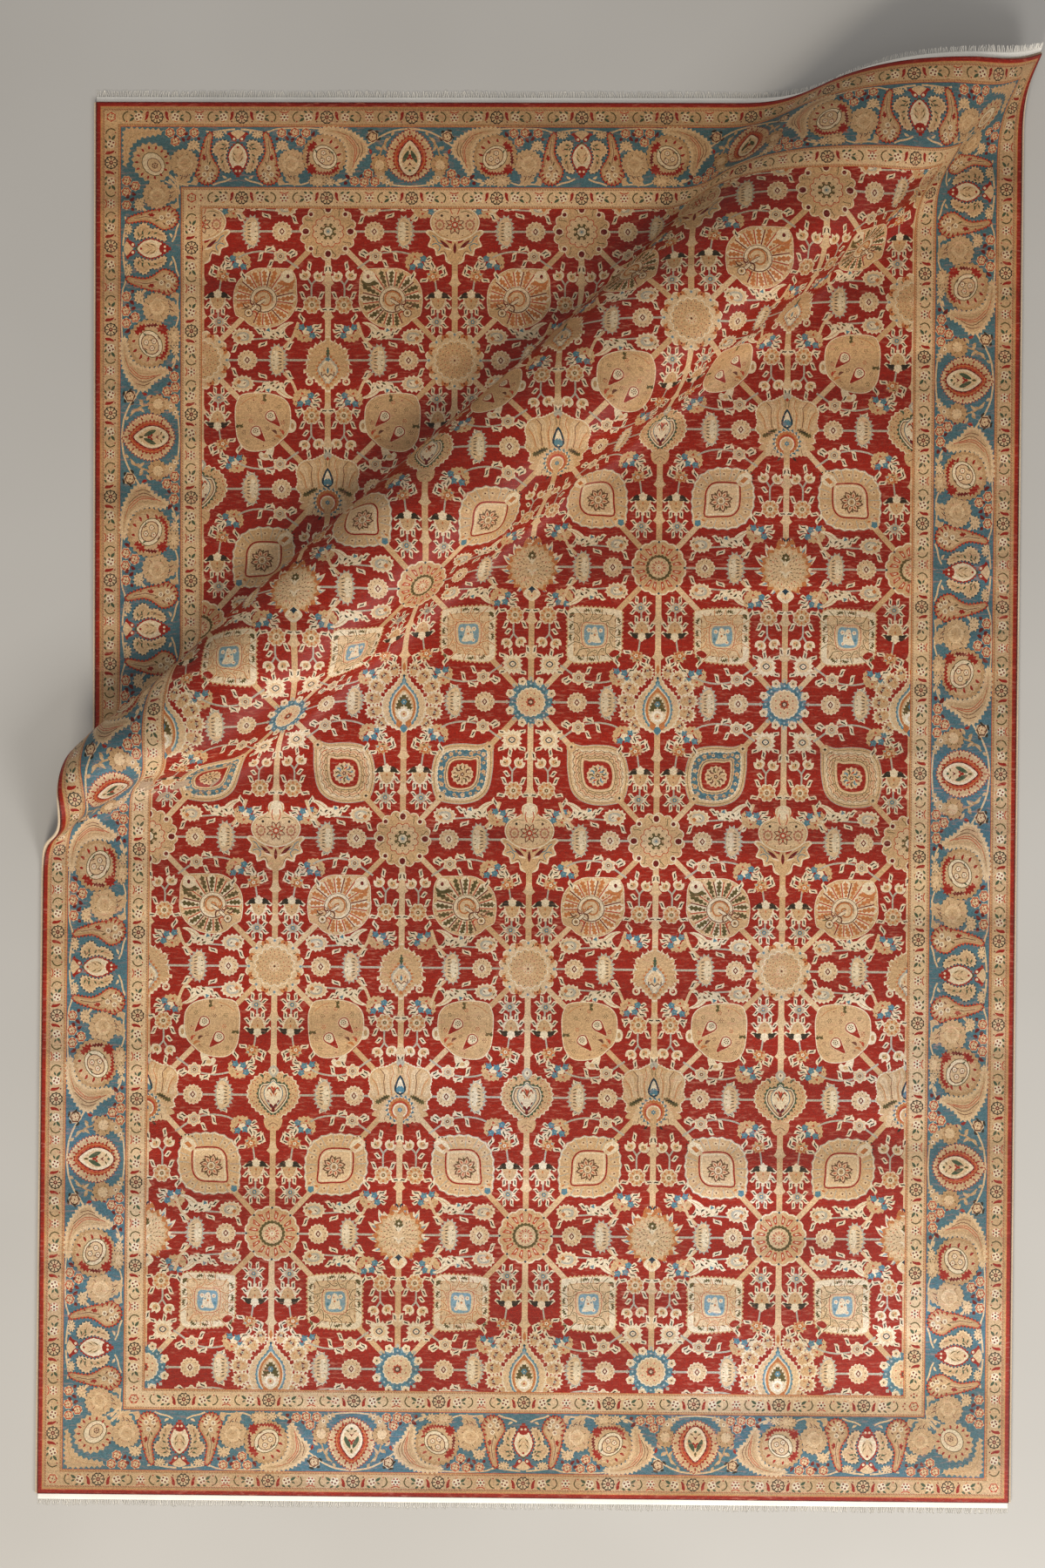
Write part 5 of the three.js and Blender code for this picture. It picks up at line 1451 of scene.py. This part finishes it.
def pile_material():
    material, tree, shader = node_material("pile")
    place = add(tree, "ShaderNodeAttribute", attribute_name="flat_place").outputs["Vector"]
    pattern = add(tree, "ShaderNodeAttribute", attribute_name="Pattern").outputs["Color"]
    colour = mix(tree, "MIX", stitched_lines(tree, place), pattern, STITCH_TONE)
    # Bands of dye along the weft, tufts, and short worn flecks across the rug
    bands = noise(tree, place, 9.0, 4.0, 0.6, (0.08, 1.0, 1.0))
    clouds = noise(tree, place, 3.0, 3.0, 0.55)
    tufts = noise(tree, place, 420.0, 2.0, 0.7)
    mottle = noise(tree, place, 190.0, 3.0, 0.7)
    flecks = noise(tree, place, 150.0, 3.0, 0.65, (0.28, 1.3, 1.0))
    patches = noise(tree, place, 5.5, 4.0, 0.62, (0.7, 1.2, 1.0))
    colour = tinted(tree, colour, bands, (0.32, 0.66), (0.68, 1.16))
    colour = tinted(tree, colour, clouds, (0.3, 0.90), (0.7, 1.08))
    colour = tinted(tree, colour, tufts, (0.3, 0.66), (0.7, 1.28))
    colour = tinted(tree, colour, mottle, (0.34, 0.76), (0.66, 1.14))
    fleck = ramp(tree, flecks, ((0.53, 0.0), (0.66, 1.0)))
    patch = ramp(tree, patches, ((0.36, 0.12), (0.66, 0.9)))
    worn = math_node(tree, "MULTIPLY", fleck, patch)
    colour = mix(tree, "MIX", worn, colour, mix(tree, "MIX", 0.55, colour, WORN_TONE))
    # Painted sheen: paler, bluer patches, most towards the near end, stand in for the silky pile's sheen;
    # painted shade darkens the far end
    parts = add(tree, "ShaderNodeSeparateXYZ")
    tree.links.new(place, parts.inputs[0])
    along = math_node(tree, "MULTIPLY", parts.outputs[1], 1000 / LONG)
    nearer = ramp(tree, along, ((0.0, 1.0), (0.75, 0.25)))
    sheen_patches = noise(tree, place, 2.4, 4.0, 0.62, (1.0, 0.8, 1.0))
    sheen_patches = math_node(tree, "MULTIPLY", nearer, ramp(tree, sheen_patches, ((0.46, 0.0), (0.62, 1.0))))
    # Painted sheen: pale patches multiplied into the colour
    colour = mix(tree, "MULTIPLY", sheen_patches, colour, PAINTED_SHEEN_TINT)
    # Painted shade: the pile darkens towards the far end
    colour = tinted(tree, colour, along, (0.45, (1.0, 1.0, 1.0)), (1.0, FAR_END_PAINTED_SHADE))
    tree.links.new(colour, shader.inputs["Base Color"])
    shader.inputs["Roughness"].default_value = 0.43
    shader.inputs["Specular IOR Level"].default_value = 0.28
    bumped(tree, shader, tufts, 0.45, 0.001)
    return material


def backing_material():
    material, tree, shader = node_material("backing")
    where = add(tree, "ShaderNodeTexCoord").outputs["Object"]
    wave = add(tree, "ShaderNodeTexWave", wave_type="BANDS", bands_direction="Y")
    wave.inputs["Scale"].default_value = 130.0
    tree.links.new(where, wave.inputs["Vector"])
    grain = noise(tree, where, 300.0, 3.0, 0.6)
    rib = ramp(tree, wave.outputs[0], ((0.2, 0.0), (0.8, 1.0)))
    colour = tinted(tree, mix(tree, "MIX", rib, BACK_DARK, BACK_PALE), grain, (0.3, 0.75), (0.7, 1.15))
    tree.links.new(colour, shader.inputs["Base Color"])
    shader.inputs["Roughness"].default_value = 0.9
    bumped(tree, shader, wave.outputs[0], 0.5, 0.001)
    return material


def yarn_material(name, dark, light, scale):
    material, tree, shader = node_material(name)
    where = add(tree, "ShaderNodeTexCoord").outputs["Object"]
    fibres = noise(tree, where, scale, 3.0, 0.65)
    stains = noise(tree, where, 7.0, 2.0, 0.5)
    colour = mix(tree, "MIX", ramp(tree, fibres, ((0.3, 0.0), (0.7, 1.0))), (*dark, 1), (*light, 1))
    colour = tinted(tree, colour, stains, (0.3, 0.86), (0.7, 1.06))
    tree.links.new(colour, shader.inputs["Base Color"])
    shader.inputs["Roughness"].default_value = 0.85
    shader.inputs["Sheen Weight"].default_value = 0.2
    bumped(tree, shader, fibres, 0.5, 0.0006)
    return material


pile = pile_material()
backing = backing_material()
binding_yarn = yarn_material("binding_yarn", BINDING_DARK, BINDING_PALE, 500.0)
fringe_yarn = yarn_material("fringe_yarn", FRINGE_DARK, FRINGE_PALE, 700.0)


# The pieces, with their heights over the underside in millimetres
PILE_TOP = 9.0
GROUND_LOW, GROUND_TOP = 0.4, 7.4
SIDE_HEIGHTS = (PILE_TOP, 6.5, 3.5, 0.6)
SIDE_STEP = 9.0
BINDING_PITCH = 3.8
BINDING_SIDES = 6
BINDING_OUT, BINDING_UP = 2.7, 3.9
BINDING_HALF_WIDE, BINDING_HALF_HIGH = 2.6, 3.5
HEADER_STEP = 5.0
HEADER_OUTS = (0.0, 3.0, 6.5, 10.0, 12.5)
HEADER_TOPS = (3.2, 3.0, 2.6, 2.4, 1.8)
STRANDS = 620
STRAND_LENGTH = 14.5
STRAND_ROOT = 11.0
STRAND_RADII = (0.95, 0.9, 0.85, 0.75, 0.45)
GROUP_PITCH = 20.0


def closed_cloth():
    # The woven ground under the pile, one closed body with its two faces
    low, high = 0j, complex(WIDE, LONG)
    flat, tris, _ = triangles([], low, high, fold_lattice(low, high, 14.0, 55.0))
    used, tris = np.unique(tris, return_inverse=True)
    tris = tris.reshape(-1, 3)
    flat = flat[used]
    n = len(flat)
    points = np.concatenate([over(flat, np.full(n, GROUND_LOW)), over(flat, np.full(n, GROUND_TOP))])
    edges = {}
    for a, b, c in tris.tolist():
        for e in ((a, b), (b, c), (c, a)):
            if (e[1], e[0]) in edges:
                del edges[(e[1], e[0])]
            else:
                edges[e] = True
    faces = [[c, b, a] for a, b, c in tris.tolist()] + (tris + n).tolist()
    faces += [[a, b, b + n, a + n] for a, b in edges]
    return new_object("woven_ground", points, faces, backing)


def pile_side():
    # The cut side of the pile round the edge
    corners = (0, WIDE, complex(WIDE, LONG), 1j * LONG, 0)
    sides = []
    for a, b in zip(corners, corners[1:]):
        count = int(abs(b - a) / SIDE_STEP)
        sides.append(a + (b - a) * np.arange(count) / count)
    ring = np.concatenate(sides)
    n = len(ring)
    rows = [over(ring, np.full(n, h)) for h in SIDE_HEIGHTS]
    faces = [[k * n + i, (k + 1) * n + i, (k + 1) * n + (i + 1) % n, k * n + (i + 1) % n]
             for k in range(len(rows) - 1) for i in range(n)]
    obj = new_object("pile_side", np.concatenate(rows), faces, pile)
    mesh = obj.data
    tone = [*TONES[NAMES.index("deep")], 1.0]
    colours = mesh.color_attributes.new("Pattern", "FLOAT_COLOR", "CORNER")
    colours.data.foreach_set("color", np.tile(tone, len(mesh.loops)))
    whole = np.tile(ring, len(rows))
    spot = np.stack([whole.real, whole.imag, np.repeat(SIDE_HEIGHTS, n)], -1)
    sheet_at = mesh.attributes.new("flat_place", "FLOAT_VECTOR", "POINT")
    sheet_at.data.foreach_set("vector", (spot / 1000).reshape(-1))
    return obj


def wound_binding(name, left):
    # Yarn wound over the edge cord, one turn after another
    count = int(LONG / BINDING_PITCH)
    v = np.linspace(0, LONG, count * 2 + 1)
    bulge = np.append(np.tile([0.84, 1.0], count), 0.84)
    n, sides = len(v), BINDING_SIDES
    rows = []
    for a in 2 * np.pi * np.arange(sides) / sides:
        out = BINDING_OUT + BINDING_HALF_WIDE * np.cos(a) * bulge
        up = BINDING_UP + BINDING_HALF_HIGH * np.sin(a) * bulge
        lean = 0.8 * np.sin(a)
        u = -out if left else WIDE + out
        rows.append(over(u + 1j * np.clip(v + lean, 0, LONG), up))
    points = np.stack(rows, 1).reshape(-1, 3)
    faces = []
    for i in range(n - 1):
        for k in range(sides):
            after = (k + 1) % sides
            q = [i * sides + k, i * sides + after, (i + 1) * sides + after, (i + 1) * sides + k]
            faces.append(q if left else q[::-1])
    ends = [list(range(sides)), list(range((n - 1) * sides, n * sides))]
    faces += [ends[0][::-1], ends[1]] if left else [ends[0], ends[1][::-1]]
    return new_object(name, points, faces, binding_yarn)


def header(edge, way):
    # The flat-woven strip along one end, closed round its section
    u = np.arange(0, WIDE + 0.1, HEADER_STEP)
    n = len(u)
    ripple = 0.15 * np.where(np.arange(n) % 2, 1, -1)
    rows = [over(u + 1j * (edge + way * o), h + ripple) for o, h in zip(HEADER_OUTS, HEADER_TOPS)]
    rows += [over(u + 1j * (edge + way * o), np.full(n, GROUND_LOW)) for o in HEADER_OUTS[::-1]]
    faces = []
    for k in range(len(rows)):
        beyond = (k + 1) % len(rows)
        for i in range(n - 1):
            q = [k * n + i, k * n + i + 1, beyond * n + i + 1, beyond * n + i]
            faces.append(q[::-way])
    faces.append([k * n for k in range(len(rows))][::way])
    faces.append([k * n + n - 1 for k in range(len(rows))][::-way])
    return np.concatenate(rows), faces


def fringe(name, far, seed):
    rng = np.random.default_rng(seed)
    way = 1 if far else -1
    edge = LONG if far else 0.0
    strip, faces = header(edge, way)
    points = [strip]
    start = len(strip)
    # Loose warp ends in loose groups
    count = STRANDS
    base = (np.arange(count) + 0.5) / count * WIDE + rng.uniform(-0.5, 0.5, count)
    group = np.round(base / GROUP_PITCH) * GROUP_PITCH + rng.uniform(-2, 2, count)
    lean = np.cumsum(rng.normal(0, 1, count))
    lean = 2.5 * np.sin(lean * 0.5) + rng.normal(0, 1.0, count)
    length = STRAND_LENGTH + rng.normal(0, 0.9, count) + 1.0 * np.sin(base / 37.0)
    t = np.linspace(0, 1, 5)
    r = np.array(STRAND_RADII)
    for k in range(count):
        wave = rng.uniform(-0.7, 0.7)
        x = base[k] + (group[k] - base[k]) * 0.25 * t
        x = x + lean[k] * t ** 1.5 + wave * np.sin(np.pi * t * 1.5)
        x = np.clip(x, 1, WIDE - 1)
        out = STRAND_ROOT + (length[k] - 1.0) * t
        high = 1.3 + 0.4 * np.sin(np.pi * t) + rng.uniform(-0.2, 0.3)
        ring = []
        for a in (0, 1, 2):
            turn = a * math.pi / 1.5 - math.pi / 6
            c, s = math.cos(turn), math.sin(turn)
            ring.append(over(x + r * c + 1j * (edge + way * out), np.maximum(high + r * s, 0.2)))
        points.append(np.stack(ring, 1).reshape(-1, 3))
        for i in range(4):
            low = start + i * 3
            for j in range(3):
                q = [low + j, low + (j + 1) % 3, low + 3 + (j + 1) % 3, low + 3 + j]
                faces.append(q[::-1] if far else q)
        faces.append([start + 12 + j for j in range(3)][::way])
        start += 15
    return new_object(name, np.concatenate(points), faces, fringe_yarn)


ground = closed_cloth()
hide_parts("rug_cloth")
left = wound_binding("binding_left", True)
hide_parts("edge_binding_left")
right = wound_binding("binding_right", False)
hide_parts("edge_binding_right")
far_fringe = fringe("fringe_far_end", True, 7)
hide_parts("fringe_far")
near_fringe = fringe("fringe_near_end", False, 11)
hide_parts("fringe_near")
side = pile_side()

# The pile is cut into panels: four across the field, and one for each border
inner = BANDS[3]
field_items = field()
border_items = borders()
cuts = (inner, 860.0, 1500.0, 2140.0, LONG - inner)
for name, low, high in zip(("near", "low_middle", "high_middle", "far"), cuts[:-1], cuts[1:]):
    painted("pile_field_" + name, field_items, (inner, low), (WIDE - inner, high), pile)
for name, low, high in (("near", (0, 0), (WIDE, inner)), ("far", (0, LONG - inner), (WIDE, LONG)),
                        ("left", (0, inner), (inner, LONG - inner)),
                        ("right", (WIDE - inner, inner), (WIDE, LONG - inner))):
    painted("pile_border_" + name, border_items, low, high, pile)

# Floor, lights and camera, in metres
FLOOR_HALF = 12
FLOOR_DARK, FLOOR_PALE = (0.47, 0.455, 0.43), (0.51, 0.495, 0.47)
LIGHTS = (("key", (-1.9, -6.0, 4.2), (0, 0.2, 0), 330, 2.0, (1.0, 0.92, 0.80)),
          ("gloss", (2.6, -3.2, 3.2), (0.3, -0.3, 0), 118, 2.0, (1.0, 0.98, 0.95)))
WORLD_COLOUR, WORLD_STRENGTH = (1.0, 0.98, 0.96, 1), 0.44
CAMERA_SPOT = (-0.0153, -0.0298, 4.9)
PICTURE_UP = (-0.0099, 0.99995, 0)
SENSOR_HIGH, LENS = 36, 54.56


def floor_plane():
    material, tree, shader = node_material("floor")
    shader.inputs["Roughness"].default_value = 0.9
    shader.inputs["Specular IOR Level"].default_value = 0.2
    where = add(tree, "ShaderNodeTexCoord").outputs["Object"]
    shade = ramp(tree, noise(tree, where, 1.5, 2.0, 0.5), ((0.3, FLOOR_DARK), (0.7, FLOOR_PALE)))
    tree.links.new(shade, shader.inputs["Base Color"])
    plane = bpy.data.meshes.new("floor")
    half = FLOOR_HALF
    corners = [(-half, -half, 0), (half, -half, 0), (half, half, 0), (-half, half, 0)]
    plane.from_pydata(corners, [], [(0, 1, 2, 3)])
    plane.materials.append(material)
    obj = bpy.data.objects.new("floor", plane)
    bpy.context.scene.collection.objects.link(obj)
    return obj


def light(name, spot, aim, power, size, colour):
    data = bpy.data.lights.new(name, "AREA")
    data.energy = power
    data.size = size
    data.color = colour
    obj = bpy.data.objects.new(name, data)
    obj.location = spot
    obj.rotation_euler = (Vector(aim) - Vector(spot)).to_track_quat("-Z", "Y").to_euler()
    bpy.context.scene.collection.objects.link(obj)


def camera_above():
    # Straight above the rug, with the picture's upper side along PICTURE_UP
    data = bpy.data.cameras.new("camera")
    data.sensor_fit = "VERTICAL"
    data.sensor_height = SENSOR_HIGH
    data.lens = LENS
    camera = bpy.data.objects.new("camera", data)
    bpy.context.scene.collection.objects.link(camera)
    up = Vector(PICTURE_UP).normalized()
    back = Vector((0, 0, 1))
    turned = Matrix((up.cross(back).normalized(), up, back)).transposed().to_4x4()
    camera.matrix_world = Matrix.Translation(Vector(CAMERA_SPOT)) @ turned
    return camera


floor = floor_plane()
for lamp in LIGHTS:
    light(*lamp)
world = bpy.data.worlds.new("studio")
world.use_nodes = True
world.node_tree.nodes["Background"].inputs[0].default_value = WORLD_COLOUR
world.node_tree.nodes["Background"].inputs[1].default_value = WORLD_STRENGTH
bpy.context.scene.world = world
bpy.context.scene.view_settings.view_transform = "Standard"
bpy.context.scene.camera = camera_above()
